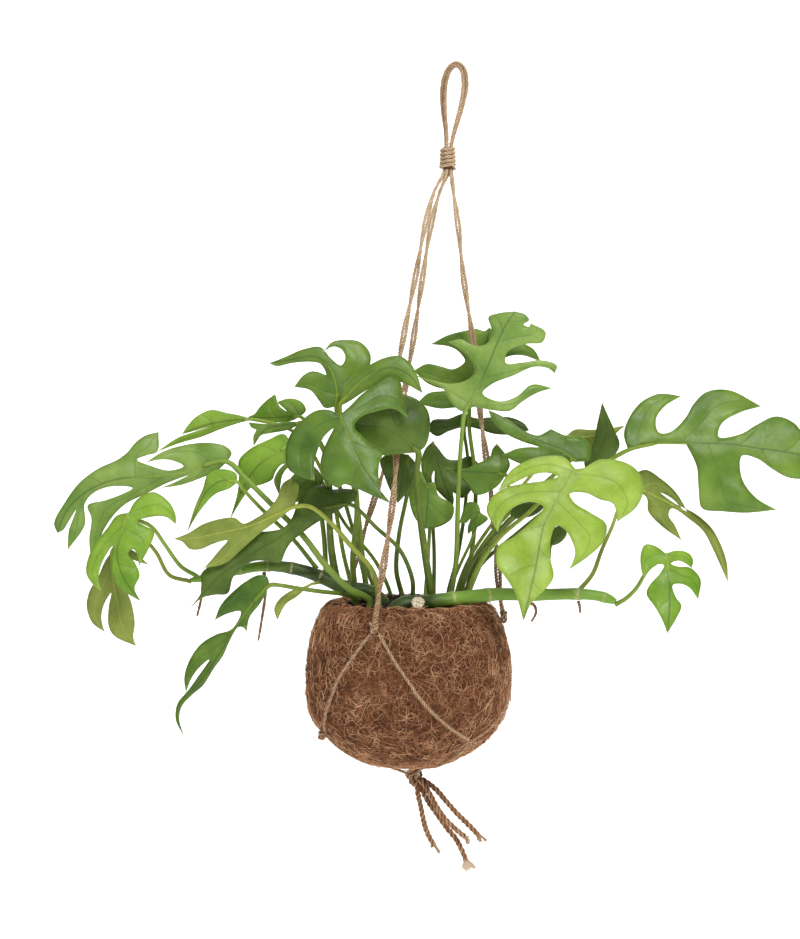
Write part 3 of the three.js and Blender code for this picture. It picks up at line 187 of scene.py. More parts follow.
# Ribs and edges are places [x, z] on the picture plane, routes [x, z, depth], and a foot [x, depth].
LEAVES = [
  leaf("right_broad", "green", 4, (0.12, 0.25), [(151, 107), (170, 111.5), (190, 111.5), (220, 111),
    (240, 108), (268, 104), (297, 96)],
    half(lobe([(148, 118), (152, 130), (160, 140), (172, 145.5)], (187, 144), [(176, 137), (170, 128)],
        (172, 119)),
      lobe([(180, 119.5), (190, 129), (196, 139), (205, 147), (220, 148)], (242, 137), [(228, 133),
        (215, 125)], (213, 116)),
      lobe([(228, 118), (240, 125), (252, 130), (264, 126), (276, 112)])),
    half(lobe([(198, 96), (199.5, 80), (202, 67), (216, 65), (232, 64)], (253, 66), [(238, 75), (229, 88)],
        (229, 103)),
      lobe([(240, 101), (250, 94), (262, 88), (276, 88)]), start=(192, 111)),
    foot=(40, 3), route=[(48, 32, 6), (70, 58, 10), (100, 80, 10), (130, 95, 7)]),
  leaf("right_lime", "lime", -50, (0.1, 0.3), [(115, 94), (108, 83), (102, 72), (94, 57), (91, 45), (88, 28),
    (79.5, -10.5)],
    half(lobe([(107, 102), (97, 103), (84, 100.5), (73, 95), (66, 87)], (62, 79), [(72, 84), (84, 89.5),
        (95, 91.5)], (103, 89)),
      lobe([(94, 86), (80, 84), (67, 81), (58, 75), (54, 66)], (61.5, 50.5), [(65, 60), (73, 68), (84, 71.5)],
        (93, 68)),
      lobe([(88, 61), (72, 47), (62, 41), (61, 28), (66, 21), (74, 8)])),
    half(lobe([(121, 95), (130, 100), (140, 100.5), (152, 97), (160, 89), (161, 77), (156, 67)], (144, 58),
        [(141, 70), (132, 73), (122, 77.5)], (111, 77)),
      lobe([(114, 71), (125, 64), (136, 56), (134, 44), (124, 34)], (111, 25), [(115, 36), (112, 46),
        (107, 53)], (102, 55)),
      lobe([(98, 46), (98, 32), (100, 20), (95, 12), (85, 2)])),
    foot=(40, -10), route=[(47, 24, -13), (62, 46, -22), (85, 66, -32), (106, 88, -41)]),
  leaf("right_small", "lime", -34, (0.2, 0.3), [(177, 36), (179, 25), (180, 12), (180, -2), (178.5, -19)],
    half(lobe([(170, 41), (163, 42), (160, 36), (160, 27)], (162, 19), [(165, 24), (170, 28)], (176, 28)),
      lobe([(173, 22), (166, 14), (164, 8), (170, -1), (175, -10)])),
    half(lobe([(185, 38), (193, 36), (196, 31)], (195, 26), [(191, 29), (186, 31)], (180.5, 29)),
      lobe([(185, 27), (194, 26), (201, 18)], (199.5, 4.5), [(194, 12), (188, 15)], (182, 14)),
      lobe([(184, 6), (188, 0), (185, -8)])),
    route=[(144.8, 1.9, -18), (150, 5, -20), (157, 12, -24), (166, 26, -30)], thick=1.7),
  leaf("right_drooping", "olive", 30, (0.1, 0.2), [(152, 84), (166, 77), (180, 70), (195, 62), (205, 53),
    (213, 38), (220, 16)],
    half(lobe([(155, 90), (163, 93.5), (174, 87), (183, 79), (189, 70)], (193.5, 60.5), [(188, 67),
        (181, 74)], (173, 78)),
      lobe([(183, 70.5), (197, 63.5), (208, 54), (214, 44), (219, 30)])),
    half(lobe([(158, 79), (164, 74), (165, 65), (174, 55)], (188, 45), [(183, 56), (179, 62)], (181, 67)),
      lobe([(194, 59), (203, 51), (210, 38), (216, 25)])),
    route=[(119, 12.1, -15), (127, 22, -6), (133, 38, 4), (140, 54, 14), (147, 72, 24)], thick=1.8, thin=1),
  leaf("right_upright", "dark", 20, (0, -0.05), [(122, 92), (131, 106), (136, 120), (133, 140)],
    half(lobe([(121, 100), (127, 112), (130, 126)])),
    half(lobe([(136, 98), (145, 110), (141, 122), (137, 131)])),
    foot=(39, 13), route=[(50, 28, 15), (75, 50, 20), (104, 74, 22)], thick=1.8, thin=1),
  leaf("right_grey", "olive", 36, (0, 0.1), [(108, 116), (122, 116), (136, 119), (149, 124)],
    half(lobe([(114, 121), (126, 121), (138, 122)])),
    half(lobe([(113, 110), (126, 109), (138, 115)])),
    foot=(34, 24), route=[(42, 32, 26), (62, 62, 32), (90, 96, 36)], thick=1.7, thin=1),
  leaf("right_inner", "green", -22, (0.05, 0.2), [(116, 99), (104, 107), (90, 113), (74, 123), (55, 134.5)],
    half(lobe([(124, 100), (125, 110), (119, 116), (108, 117)], (98, 121.5), [(94, 119)], (89, 117)),
      lobe([(80, 120), (70, 127), (62, 131.5)])),
    half(lobe([(108, 99), (96, 95), (82, 96)], (64, 103.5), [(75, 108), (84, 109)], (90, 109)),
      lobe([(78, 113), (66, 119), (58, 127)])),
    foot=(36, -2), route=[(42, 26, -3), (64, 58, 0), (98, 88, -15)], thick=1.9),
  leaf("right_low", "dark", -14, (0, 0.1), [(70, 60), (78, 65), (86, 68), (94, 69)],
    half(lobe([(72, 68), (81, 71.5), (89, 71.5)])),
    half(lobe([(77, 60), (86, 62), (92, 66)])),
    foot=(35, -8), route=[(41, 26, -10), (54, 42, -13)], thick=1.9, thin=1),
  leaf("right_tiny", "dark", -14, (0, 0.1), [(98, 41), (101, 46), (104, 50), (105, 56)],
    half(lobe([(97, 47), (100, 53)])),
    half(lobe([(104, 43), (109, 49), (108, 54)])),
    route=[(94, 12.3, -20.3), (95, 20, -18), (97, 32, -15)], thick=1.2, thin=0.9),
  leaf("top", "green", -12, (0.05, 0.06), [(39, 133), (47, 148), (54, 163), (60, 178), (66, 191), (73, 202)],
    half(lobe([(35, 134.5), (28, 141), (24, 149), (14, 153.5)], (5, 158.5), [(18, 154.5), (30, 152.5)],
        (41, 155.5)),
      lobe([(46, 162), (42, 170), (34, 177)], (27, 181), [(36, 183), (43, 179.5)], (50, 178.5)),
      lobe([(55, 181), (57, 190), (55, 198), (63, 201)])),
    half(lobe([(45, 136.5), (57, 134.5), (70, 134), (78, 140), (88, 146)], (99, 149.5), [(85, 152),
        (74, 143.5), (62, 140.5)], (51, 146)),
      lobe([(58, 152.5), (72, 158), (86, 164), (96, 163)], (100.5, 159.5), [(102, 165), (92, 168.5),
        (78, 167)], (67, 166.5)),
      lobe([(68, 174), (80, 179.5), (92, 181), (94, 188)], (84, 194), [(83, 191.5)], (79, 193)),
      lobe([(83, 196), (80, 200)])),
    foot=(29, -12), route=[(33, 30, -14), (34, 60, -14), (35, 90, -13), (37, 118, -12)]),
  leaf("top_back", "green", 15, (0.02, 0.05), [(42, 133), (44, 148), (48, 163), (53, 178), (56, 191)],
    half(lobe([(34, 136), (22, 135.5)], (6, 139), [(14, 146), (24, 147.5)], (36, 147.5)),
      lobe([(24, 149), (13, 153)], (4, 161.5), [(13, 166), (22, 164.5), (31, 162.5)], (39, 168)),
      lobe([(34, 175), (28, 178)], (15.5, 179.5), [(27, 185.5), (38, 188.5), (47, 190)], (52.5, 188.5)),
      lobe([(54.5, 190)])),
    half(lobe([(52, 156), (66, 170), (78, 172)], (91, 167.5), [(86, 176), (76, 181), (66, 182)], (58, 183)),
      lobe([(58, 188)])),
    foot=(36, 8), route=[(43, 32, 8), (46, 62, 8), (46, 90, 10), (42, 122, 14)], thick=1.9),
  leaf("mid_back", "dark", 29, (0, 0.05), [(13, 121), (26, 122.5), (41, 125.5), (56, 126), (72, 125),
    (83, 120.5)],
    half(lobe([(17, 127.5), (28, 128.5), (38, 132), (46, 129), (56, 129.5), (70, 129.5), (80, 125)])),
    half(lobe([(20, 116.5), (28, 120), (40, 123), (48, 121.5), (60, 118), (74, 118)])),
    foot=(28, 20), route=[(34, 34, 25), (39, 66, 30), (41, 100, 29)], thick=1.8, thin=1, joint=3),
  leaf("mid_dark", "dark", 17, (0, 0.08), [(17, 113), (20, 100), (24, 86), (31, 69)],
    half(lobe([(12, 108), (9, 98)], (12, 80), [(15.5, 87)], (18, 93)),
      lobe([(18.5, 82), (24, 75)])),
    half(lobe([(21, 108), (27, 101), (35, 100.5), (42, 103)], (49, 97.5), [(45, 88), (43, 79), (37, 74)],
        (31, 78)),
      lobe([(31.5, 73)])),
    foot=(18, 18), route=[(18, 36, 23), (16, 74, 25), (15, 104, 22)], thick=1.8, thin=1),
  leaf("mid_green", "green", -7, (0, 0.05), [(67, 90), (56, 91.5), (44, 92), (34, 93), (25, 95)],
    half(lobe([(70, 97), (67, 104)], (61, 111.5), [(58, 108)], (56, 102)),
      lobe([(48, 98), (40, 94.5), (32, 94.5)])),
    half(lobe([(63, 84), (55, 78), (46, 76.5), (41, 83), (35, 89), (30, 92)])),
    foot=(41, -4), route=[(48, 24, -6), (62, 54, -8), (69, 78, -9)], thick=1.8, thin=1),
  leaf("mid_low", "green", 0, (0, 0.1), [(13, 84), (13.6, 74), (12.8, 64), (12, 53)],
    half(lobe([(8, 93), (1.5, 84), (1, 72), (5, 60)])),
    half(lobe([(18, 85), (21, 76), (31, 69), (30, 60), (20, 54)])),
    foot=(12, 4), route=[(14, 36, 8), (15, 66, 8)], thick=1.8, thin=1),
  leaf("mid_small", "green", -3, (0, 0.1), [(50, 64), (46, 60), (43, 55), (41, 49)],
    half(lobe([(48, 70), (41, 71)], (35, 57), [(40, 57)], (43, 60)),
      lobe([(41, 54)])),
    half(lobe([(55, 60), (51, 56), (46, 53)])),
    foot=(28, 4), route=[(34, 24, 3), (44, 46, 0)], thick=1.5, thin=0.9),
  leaf("centre_glossy", "green", -58, (0.05, 0.3), [(-47, 131), (-42, 120), (-36, 105), (-27, 89),
    (-12, 70.5)],
    half(lobe([(-54, 134.5), (-63, 134), (-73, 127), (-81, 117), (-84, 106), (-82, 94), (-73, 88.5)],
        (-64, 86), [(-64.5, 96), (-62, 107), (-57, 117)], (-51, 122)),
      lobe([(-55, 114), (-59, 104), (-60, 95), (-56, 87), (-48, 81), (-44, 83.5), (-36, 81), (-25, 76)])),
    half(lobe([(-40, 137), (-32, 145), (-22, 152), (-10, 158), (-5, 153), (-4, 142)], (0, 129), [(-10, 135.5),
        (-22, 133.5), (-32, 130)], (-37, 123)),
      lobe([(-33, 118), (-25, 111), (-17, 107), (-20, 97), (-20, 86), (-18, 77)])),
    route=[(-50, 22.2, -17), (-53, 42, -22), (-54, 74, -27), (-52, 108, -46)], thick=3, thin=1.5),
  leaf("centre_arching", "green", -40, (0.02, 0.1), [(-47, 137), (-40, 146), (-28, 157), (-12, 163.5),
    (1, 158), (10, 146)],
    half(lobe([(-45, 149), (-36, 158), (-25, 166), (-15, 170.5), (-6, 171.5), (1, 167), (6, 159)])),
    half(lobe([(-41, 140), (-27, 149), (-12, 155.5), (-1, 152)])),
    foot=(-36, 0), route=[(-38, 30, -8), (-35, 70, -24), (-41, 110, -35)], thick=2.6, thin=1.4, fold=0.2),
  leaf("centre_upper", "green", -28, (0.05, 0.1), [(-49, 137), (-49, 149), (-53, 162), (-63, 171), (-80, 169),
    (-95, 166.5)],
    half(lobe([(-57, 136), (-61, 141), (-67, 148)], (-78, 150.5), [(-72, 158), (-66, 161), (-60, 160)],
        (-56, 158.5)),
      lobe([(-60, 166), (-68, 167.5), (-80, 166.5), (-90, 164.5)])),
    half(lobe([(-40, 143), (-33, 152), (-27, 162), (-26, 173), (-33, 181), (-43, 182.5), (-52, 181)],
        (-58, 174.5), [(-51, 178), (-45, 175.5), (-43, 169.5)], (-46, 165)),
      lobe([(-53, 170), (-60, 177.5), (-72, 176), (-85, 170.5)])),
    foot=(-28, -1), route=[(-31, 30, -4), (-36, 76, -14), (-46, 118, -24)], thick=2.4, thin=1.4),
  leaf("centre_dark", "dark", -42, (0, 0.02), [(7, 105.5), (-1, 113), (-8, 124), (-14, 141)],
    half(lobe([(-4, 104.5), (-17, 103.5), (-29, 107), (-38, 115), (-39, 125), (-30, 135)])),
    half(lobe([(12, 110), (15, 121), (13.5, 134), (6, 142), (-4, 145)])),
    foot=(16, -24), route=[(12, 34, -30), (8, 64, -36), (6, 92, -40)], thick=3.2, thin=1.7),
  leaf("centre_shade", "dark", -13, (0, 0.05), [(0, 104), (-3, 94), (-5, 83), (-7, 70.5)],
    half(lobe([(-12, 105), (-19, 100), (-16, 89), (-12, 79)])),
    half(lobe([(5, 98), (4, 88), (0, 79)])),
    foot=(-4, 4), route=[(-8, 24, 0), (-6, 50, -6), (0, 82, -11)], thick=2.2, thin=1.2),
  leaf("centre_bright", "lime", -12, (-0.05, 0.15), [(-80, 111), (-92, 104), (-104, 95), (-112, 83),
    (-122, 60)],
    half(lobe([(-85, 118), (-96, 114), (-108, 108), (-116, 100), (-116, 90), (-117, 78)])),
    half(lobe([(-78, 104), (-82, 98.5), (-87, 97)], notch=(-91, 92)),
      lobe([(-93, 87), (-100, 83.5), (-108, 81), (-114, 73)])),
    route=[(-56.5, 24.4, -18), (-58, 50, -16), (-64, 84, -14), (-74, 106, -12)], thick=1.9, thin=1.2),
  leaf("left_arching", "olive", -46, (0.04, 0.1), [(-78, 68), (-92, 62), (-108, 55), (-125, 51), (-145, 47),
    (-161, 46)],
    half(lobe([(-76, 75), (-75, 82)], (-80, 88), [(-86, 84), (-90, 74), (-97, 65.5)], (-105, 60)),
      lobe([(-113, 56.5), (-119, 60.5), (-128, 60), (-141, 56), (-151, 50)])),
    half(lobe([(-92, 57), (-104, 48), (-114, 39), (-126, 29)], (-140, 26), [(-134, 33), (-129, 39)],
        (-124, 45)),
      lobe([(-134, 42.5), (-142, 39), (-150, 39), (-155, 44)])),
    foot=(-20, -30), route=[(-24, 23, -36), (-40, 42, -42), (-54, 58, -46), (-67, 68, -47)], thick=2.3),
  leaf("left_low", "dark", -37, (0.04, 0.1), [(-41, 70), (-52, 69), (-62, 65), (-72, 59), (-84, 50),
    (-97, 42), (-110, 34), (-130, 20), (-150, -2)],
    half(lobe([(-36, 73), (-35, 78.5), (-44, 80.5), (-52, 80), (-60, 83), (-68, 80), (-75, 72)],
        notch=(-80, 60)),
      lobe([(-86, 53.5), (-94, 51.5), (-104, 50), (-116, 41), (-132, 30), (-142, 22), (-142, 10)])),
    half(lobe([(-47, 66), (-54, 62), (-63, 57)], notch=(-74, 49)),
      lobe([(-80, 44), (-84, 38), (-88, 29.5), (-97, 31), (-108, 30), (-120, 20)], notch=(-124, 8.5)),
      lobe([(-133, 7.5), (-142, 5)])),
    foot=(3, -19), route=[(3, 18, -25), (-6, 39, -32), (-22, 54, -36), (-35, 67, -37)], thick=1.8),
  leaf("left_inner", "green", -24, (0, 0.1), [(-61.8, 93.5), (-70, 85), (-78, 78), (-88, 72.5)],
    half(lobe([(-67, 98), (-75, 100.5), (-83, 98.5), (-89, 93), (-92, 86)], (-88.5, 76), [(-87.5, 83),
        (-86, 90), (-82, 95)], (-76.5, 93)),
      lobe([(-80, 88.5), (-85, 80)])),
    half(lobe([(-58, 87), (-62, 80), (-69, 74.5), (-78, 71)])),
    foot=(-12, 15), route=[(-22, 30, 15), (-43, 56, 9), (-56, 80, -12)], thick=1.7, thin=1),
  leaf("left_broad", "green", -22, (0.08, 0.1), [(-124, 99), (-138, 97.5), (-152, 92), (-175, 89), (-200, 87),
    (-220, 79), (-234, 66), (-241, 50)],
    half(lobe([(-121, 105), (-125, 109.5), (-136, 112), (-150, 111), (-168, 106)], (-180, 98.5),
        [(-170, 100.5), (-162, 100)], (-154, 96)),
      lobe([(-164, 93), (-176, 96)], notch=(-186, 100.5)),
      lobe([(-179, 103.5), (-172, 106)], (-171, 119.5), [(-180, 117), (-187, 112), (-193, 105)], (-200, 100)),
      lobe([(-213, 94), (-225, 85), (-235, 72), (-243, 57)])),
    half(lobe([(-131, 93), (-143, 87.5), (-156, 83)], (-170, 81), [(-161, 84.5), (-156, 87)], (-151, 89.5)),
      lobe([(-165, 84.5), (-180, 77), (-194, 70), (-204, 60), (-211, 48)], (-217, 25), [(-219, 45),
        (-217.5, 60), (-220, 69), (-208, 72.5), (-197, 76.5)], (-189, 81)),
      lobe([(-204, 82)], notch=(-216, 77.5)),
      lobe([(-222, 70), (-222, 56)], (-234, 38), [(-233, 52), (-230, 60)], (-228, 66)),
      lobe([(-233, 58), (-237, 52)])),
    foot=(-26, -25), route=[(-41, 12, -31), (-56, 27, -35), (-72, 48, -29), (-92, 68, -25), (-112, 88, -23)],
      thick=3, thin=1.5),
  leaf("left_lime", "lime", -48, (0.02, 0.15), [(-192, 64), (-197, 50), (-200, 36), (-196, 20), (-184, 3)],
    half(lobe([(-188, 71), (-182, 76), (-174, 78), (-164, 71), (-159.5, 62)], (-159.5, 56), [(-166, 61),
        (-174, 61.5)], (-186, 58)),
      lobe([(-180, 54.5), (-174.5, 51), (-177, 42)], (-185, 27), [(-186, 35), (-189, 39)], (-192.5, 36)),
      lobe([(-188, 30), (-184.5, 21), (-188, 12)])),
    half(lobe([(-200, 62), (-206, 54), (-214, 44), (-220, 32), (-221, 22), (-216, 14)], (-211, 10),
        [(-213, 18), (-211, 28), (-207, 36)], (-203, 41)),
      lobe([(-204, 31), (-203, 20), (-198, 12)])),
    route=[(-147, 21.4, -14), (-156, 27, -18), (-167, 42, -28), (-177, 55, -38)], thick=1.6),
  leaf("left_olive", "olive", -28, (0, 0.12), [(-203, 38), (-203, 22), (-200, 4), (-197, -12), (-187, -28)],
    half(lobe([(-208, 31), (-213, 20), (-219, 10), (-221, -1), (-217, -12)], (-209, -18), [(-211, -8),
        (-209, 1)], (-204, 9)),
      lobe([(-206, -2), (-206, -14), (-202, -21)])),
    half(lobe([(-196, 40), (-189, 38)], (-178, 28), [(-186, 30.5), (-192, 32)], (-198, 27)),
      lobe([(-195, 14), (-190, 1), (-188, -12), (-189, -22)])),
    route=[(-151.2, 17.2, -12.3), (-164, 21, -14), (-174, 38, -20), (-188, 50, -26)], thick=1.5),
  leaf("left_upper", "lime", 4, (0, 0.1), [(-106, 128), (-120, 127.5), (-135, 125), (-147, 121.5),
    (-155, 118)],
    half(lobe([(-114, 130.5), (-124, 132.5), (-135, 134.5), (-145, 130), (-151, 124)])),
    half(lobe([(-116, 125.5), (-128, 121.5), (-142, 116), (-156, 112)], (-172, 106), [(-158, 115.5),
        (-147, 119.5)], (-137, 123)),
      lobe([(-147, 120)])),
    foot=(-38, 9), route=[(-44, 34, 6), (-54, 80, 5), (-76, 118, 5)], thick=1.9, thin=1),
  leaf("left_light", "lime", 14, (0, 0.1), [(-74, 130), (-86, 129.5), (-98, 129), (-110, 129.5)],
    half(lobe([(-70, 134), (-73, 140), (-81, 142.5)], (-90, 140), [(-86, 136.5)], (-83, 133.5)),
      lobe([(-88, 137)], (-91, 145.5), [(-97, 141), (-102, 136)], (-105, 132)),
      lobe([(-108, 130.5)])),
    half(lobe([(-80, 127), (-92, 126), (-103, 127.5)])),
    foot=(-28, 16), route=[(-34, 36, 16), (-46, 80, 15), (-62, 116, 14)], thick=1.8, thin=1),
  leaf("left_pointed", "green", -4, (0, 0.1), [(-72, 126), (-86, 124), (-98, 121), (-106, 110)],
    half(lobe([(-82, 126.5), (-95, 125)], (-109.5, 126), [(-107, 122)], (-104, 121)),
      lobe([(-106, 117)])),
    half(lobe([(-82, 121), (-95, 118.5), (-101, 117)])),
    foot=(-22, 6), route=[(-34, 40, 2), (-48, 84, -2), (-63, 115, -4)], thick=1.6, thin=1),
  leaf("left_narrow", "lime", -34, (0, 0.05), [(-117, 85), (-128, 86), (-138, 79), (-145, 66), (-152, 50)],
    half(lobe([(-118, 91), (-128, 94), (-137, 91), (-141, 80), (-146, 69)])),
    half(lobe([(-122, 81), (-132, 77), (-140, 69), (-147, 59)])),
    route=[(-64, 27.3, -16), (-80, 47, -16), (-100, 66, -18), (-113, 80, -28)], thick=1.7, thin=1),
  leaf("left_drooping", "green", -44, (0, 0.12), [(-95, 14), (-105, 4), (-114, -8), (-122, -21), (-131, -35),
    (-141, -50), (-150, -60), (-158, -69), (-159, -79), (-154, -91)],
    half(lobe([(-97, 20), (-103, 21), (-111, 17), (-121, 9), (-129, 0)], (-133, -10), [(-124, -5.5)],
        (-115, -4)),
      lobe([(-121, -16), (-132, -20), (-143, -27), (-151, -39), (-154, -50)], (-153, -60), [(-149, -50),
        (-143, -42)], (-136.5, -37)),
      lobe([(-144, -48), (-151, -58), (-159, -68), (-160, -79)])),
    half(lobe([(-102, 1), (-109, -8)], (-111, -18), [(-113.5, -15)], (-117, -15)),
      lobe([(-123, -25), (-127, -34), (-134, -44), (-141, -55), (-149, -62), (-156, -70), (-157.5, -79)])),
    foot=(-35, -18), route=[(-45, 8, -26), (-58, 9.5, -37), (-76, 12, -42), (-88, 14, -44)], thick=1.7,
      thin=1.3),
  leaf("left_tendril", "olive", -32, (0, 0.1), [(-68, 14), (-78, 9), (-86, 3), (-90, -10)],
    half(lobe([(-78, 11.5), (-88, 5), (-92, -2)])),
    half(lobe([(-76, 6.5), (-84, 1)])),
    route=[(-59.3, 16.4, -22.8), (-63, 15.5, -28.5), (-66, 15, -31)], thick=1, thin=0.8),
]


# Lines


def seen(points):
    """Places [x, z, depth] as they appear from the eye, as [x, y, z]."""
    x, z, depth = np.asarray(points, float).T
    scale = (EYE[1] + depth) / EYE[1]
    return np.column_stack([EYE[0] + (x - EYE[0]) * scale, depth, EYE[2] + (z - EYE[2]) * scale])


def curve(points, per=PER_SEGMENT):
    """A smooth line through the points, with per steps from each point to the next."""
    points = np.asarray(points, float)
    if len(points) == 2:
        share = np.linspace(0, 1, per + 1)[:, None]
        return points[0] + (points[1] - points[0]) * share
    ends = (2 * points[0] - points[1], 2 * points[-1] - points[-2])
    p = np.vstack([ends[0], points, ends[1]])
    gap = np.maximum(np.sqrt(np.linalg.norm(np.diff(p, axis=0), axis=1)), 1e-4)
    t = (np.arange(per) / per)[:, None]
    line = []
    for i in range(1, len(p) - 2):
        before, here, after = gap[i - 1:i + 2]
        leave = ((p[i] - p[i - 1]) / before - (p[i + 1] - p[i - 1]) / (before + here)
                 + (p[i + 1] - p[i]) / here) * here
        arrive = ((p[i + 1] - p[i]) / here - (p[i + 2] - p[i]) / (here + after)
                  + (p[i + 2] - p[i + 1]) / after) * here
        square = -3 * p[i] + 3 * p[i + 1] - 2 * leave - arrive
        cube = 2 * p[i] - 2 * p[i + 1] + leave + arrive
        line.append(p[i] + leave * t + square * t ** 2 + cube * t ** 3)
    return np.vstack([*line, p[-2]])


def length_of(line):
    return float(np.linalg.norm(np.diff(line, axis=0), axis=1).sum())


def runs(line):
    """How far along the line each of its points lies."""
    return np.concatenate([[0], np.cumsum(np.linalg.norm(np.diff(line, axis=0), axis=1))])


def even(line, count):
    """The line cut into count steps of even length."""
    run = runs(line)
    want = np.linspace(0, run[-1], count + 1)
    return np.column_stack([np.interp(want, run, line[:, k]) for k in range(line.shape[1])])


def stepped(line, step, least=2):
    """The line cut into even steps of about a length."""
    return even(line, max(least, round(length_of(line) / step)))


def units(vectors):
    return vectors / np.linalg.norm(vectors, axis=1)[:, None]


def around(angle, across, up):
    """Ways square to a line, at angles from one such way towards another."""
    return np.cos(angle)[..., None] * across + np.sin(angle)[..., None] * up


def turned(points, angle):
    """The points turned round the upright axis."""
    c, s = math.cos(angle), math.sin(angle)
    return points @ np.array(((c, s, 0), (-s, c, 0), (0, 0, 1)))


def frames(line):
    """The direction of a line at each point, and two directions square to it that don't twist."""
    along = units(np.gradient(line, axis=0))
    across = np.empty_like(along)
    side = np.array([1.0, 0, 0]) if abs(along[0][0]) < 0.9 else np.array([0, 1.0, 0])
    for i, direction in enumerate(along):
        side = side - direction * side.dot(direction)
        side /= np.linalg.norm(side)
        across[i] = side
    return along, across, np.cross(along, across)


def nearest(points, line):
    """Each point's distance to a line, and the share of the line's length at the nearest place."""
    start, step = line[:-1], np.diff(line, axis=0)
    sizes = np.maximum(np.linalg.norm(step, axis=1), 1e-9)
    offset = points[:, None, :] - start[None]
    t = np.clip((offset * step).sum(2) / sizes ** 2, 0, 1)
    gaps = np.linalg.norm(offset - step * t[..., None], axis=2)
    best = gaps.argmin(1)
    run = np.concatenate([[0], np.cumsum(sizes)])
    rows = np.arange(len(points))
    return gaps[rows, best], (run[best] + t[rows, best] * sizes[best]) / run[-1]


# Meshes


class Form:
    """Points, faces and point values of one mesh, gathered bit by bit."""

    def __init__(self, *values):
        self.points, self.faces, self.slots, self.smooth = [], [], [], []
        self.values = {name: [] for name in values}
        self.count = 0

    def add(self, points, faces, slot=0, smooth=True, **values):
        """More points, groups of faces numbered from the first of them, and the points' values."""
        self.points.append(points)
        for group in faces:
            self.faces.append(np.asarray(group, int) + self.count)
            self.slots.append(np.full(len(group), slot))
            self.smooth.append(np.full(len(group), smooth))
        for name, held in self.values.items():
            held.append(np.broadcast_to(values.get(name, 0.0), len(points)))
        self.count += len(points)

    def mesh(self, name):
        mesh = bpy.data.meshes.new(name)
        points = (np.vstack(self.points) - LOOP_TOP) * MM
        corners = np.concatenate([group.ravel() for group in self.faces])
        sizes = np.concatenate([np.full(len(group), group.shape[1]) for group in self.faces])
        mesh.vertices.add(len(points))
        mesh.vertices.foreach_set("co", points.ravel())
        mesh.loops.add(len(corners))
        mesh.loops.foreach_set("vertex_index", corners)
        mesh.polygons.add(len(sizes))
        mesh.polygons.foreach_set("loop_start", np.concatenate([[0], np.cumsum(sizes)[:-1]]))
        mesh.polygons.foreach_set("material_index", np.concatenate(self.slots))
        mesh.polygons.foreach_set("use_smooth", np.concatenate(self.smooth))
        mesh.update(calc_edges=True)
        for key, held in self.values.items():
            mesh.attributes.new(key, "FLOAT", "POINT").data.foreach_set("value", np.concatenate(held))
        return mesh

    def piece(self, name, materials, slot, *nodes):
        """The mesh as an object of the scene, in place of some of the frame's nodes."""
        mesh = self.mesh(name)
        for material in materials:
            mesh.materials.append(material)
        piece = bpy.data.objects.new(name, mesh)
        bpy.context.scene.collection.objects.link(piece)
        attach(piece, "root")
        if nodes:
            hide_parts(*nodes)
        return piece


def ring_faces(count, sides):
    """The faces from each ring of points to the next."""
    i, j = np.meshgrid(np.arange(count - 1), np.arange(sides), indexing="ij")
    a, b = i * sides + j, i * sides + (j + 1) % sides
    return np.stack([a, b, b + sides, a + sides], 2).reshape(-1, 4)


def tube_faces(count, sides):
    """Faces of a closed tube made of a number of rings."""
    k = np.arange(1, sides - 1)
    first = np.stack([0 * k, k + 1, k], 1)
    last = np.stack([0 * k, k, k + 1], 1) + (count - 1) * sides
    return [ring_faces(count, sides), np.concatenate([first, last])]


def tube(line, radii, sides):
    """Points and faces of a closed tube round a line, one radius for each point of it."""
    line = np.asarray(line, float)
    _, across, up = frames(line)
    ring = around(np.arange(sides) / sides * 2 * np.pi, across[:, None], up[:, None])
    radii = np.broadcast_to(radii, len(line))
    return (line[:, None] + ring * radii[:, None, None]).reshape(-1, 3), tube_faces(len(line), sides)


def threads(lines, out, radii, sides=3):
    """Many thin tubes at once. lines has a row of points for each thread, and out the way it faces there."""
    count, steps, _ = lines.shape
    along = np.gradient(lines, axis=1)
    across = np.cross(along, out)
    across /= np.linalg.norm(across, axis=2)[..., None] + NEARLY_NOTHING
    up = np.cross(across, along)
    up /= np.linalg.norm(up, axis=2)[..., None] + NEARLY_NOTHING
    taper = np.ones(steps)
    taper[[0, -1]] = 0.3
    radius = np.broadcast_to(radii, (count,))[:, None] * taper
    ring = around(np.arange(sides) / sides * 2 * np.pi + np.pi / 2, across[:, :, None], up[:, :, None])
    points = (lines[:, :, None] + ring * radius[:, :, None, None]).reshape(-1, 3)
    first = np.arange(count)[:, None, None] * steps * sides
    return points, [(first + ring_faces(steps, sides)).reshape(-1, 4)]


def spun(profile, sides):
    """A closed profile, or one from axis to axis, turned round the upright axis."""
    profile = np.array(profile, float)
    angle = np.arange(sides) / sides * 2 * np.pi
    points = np.stack([profile[:, :1] * np.cos(angle), profile[:, :1] * np.sin(angle),
                       np.repeat(profile[:, 1:], sides, 1)], 2).reshape(-1, 3)
    return points, [ring_faces(len(profile), sides)]


def rough(points, pitch, seed):
    """Smooth noise from -1 to 1 at each point, with features of about the pitch in millimetres."""
    shift = Vector((seed * 17.3, seed * 5.1, 0))
    return np.array([noise.noise(Vector(p) / pitch + shift) for p in points])


# Leaves


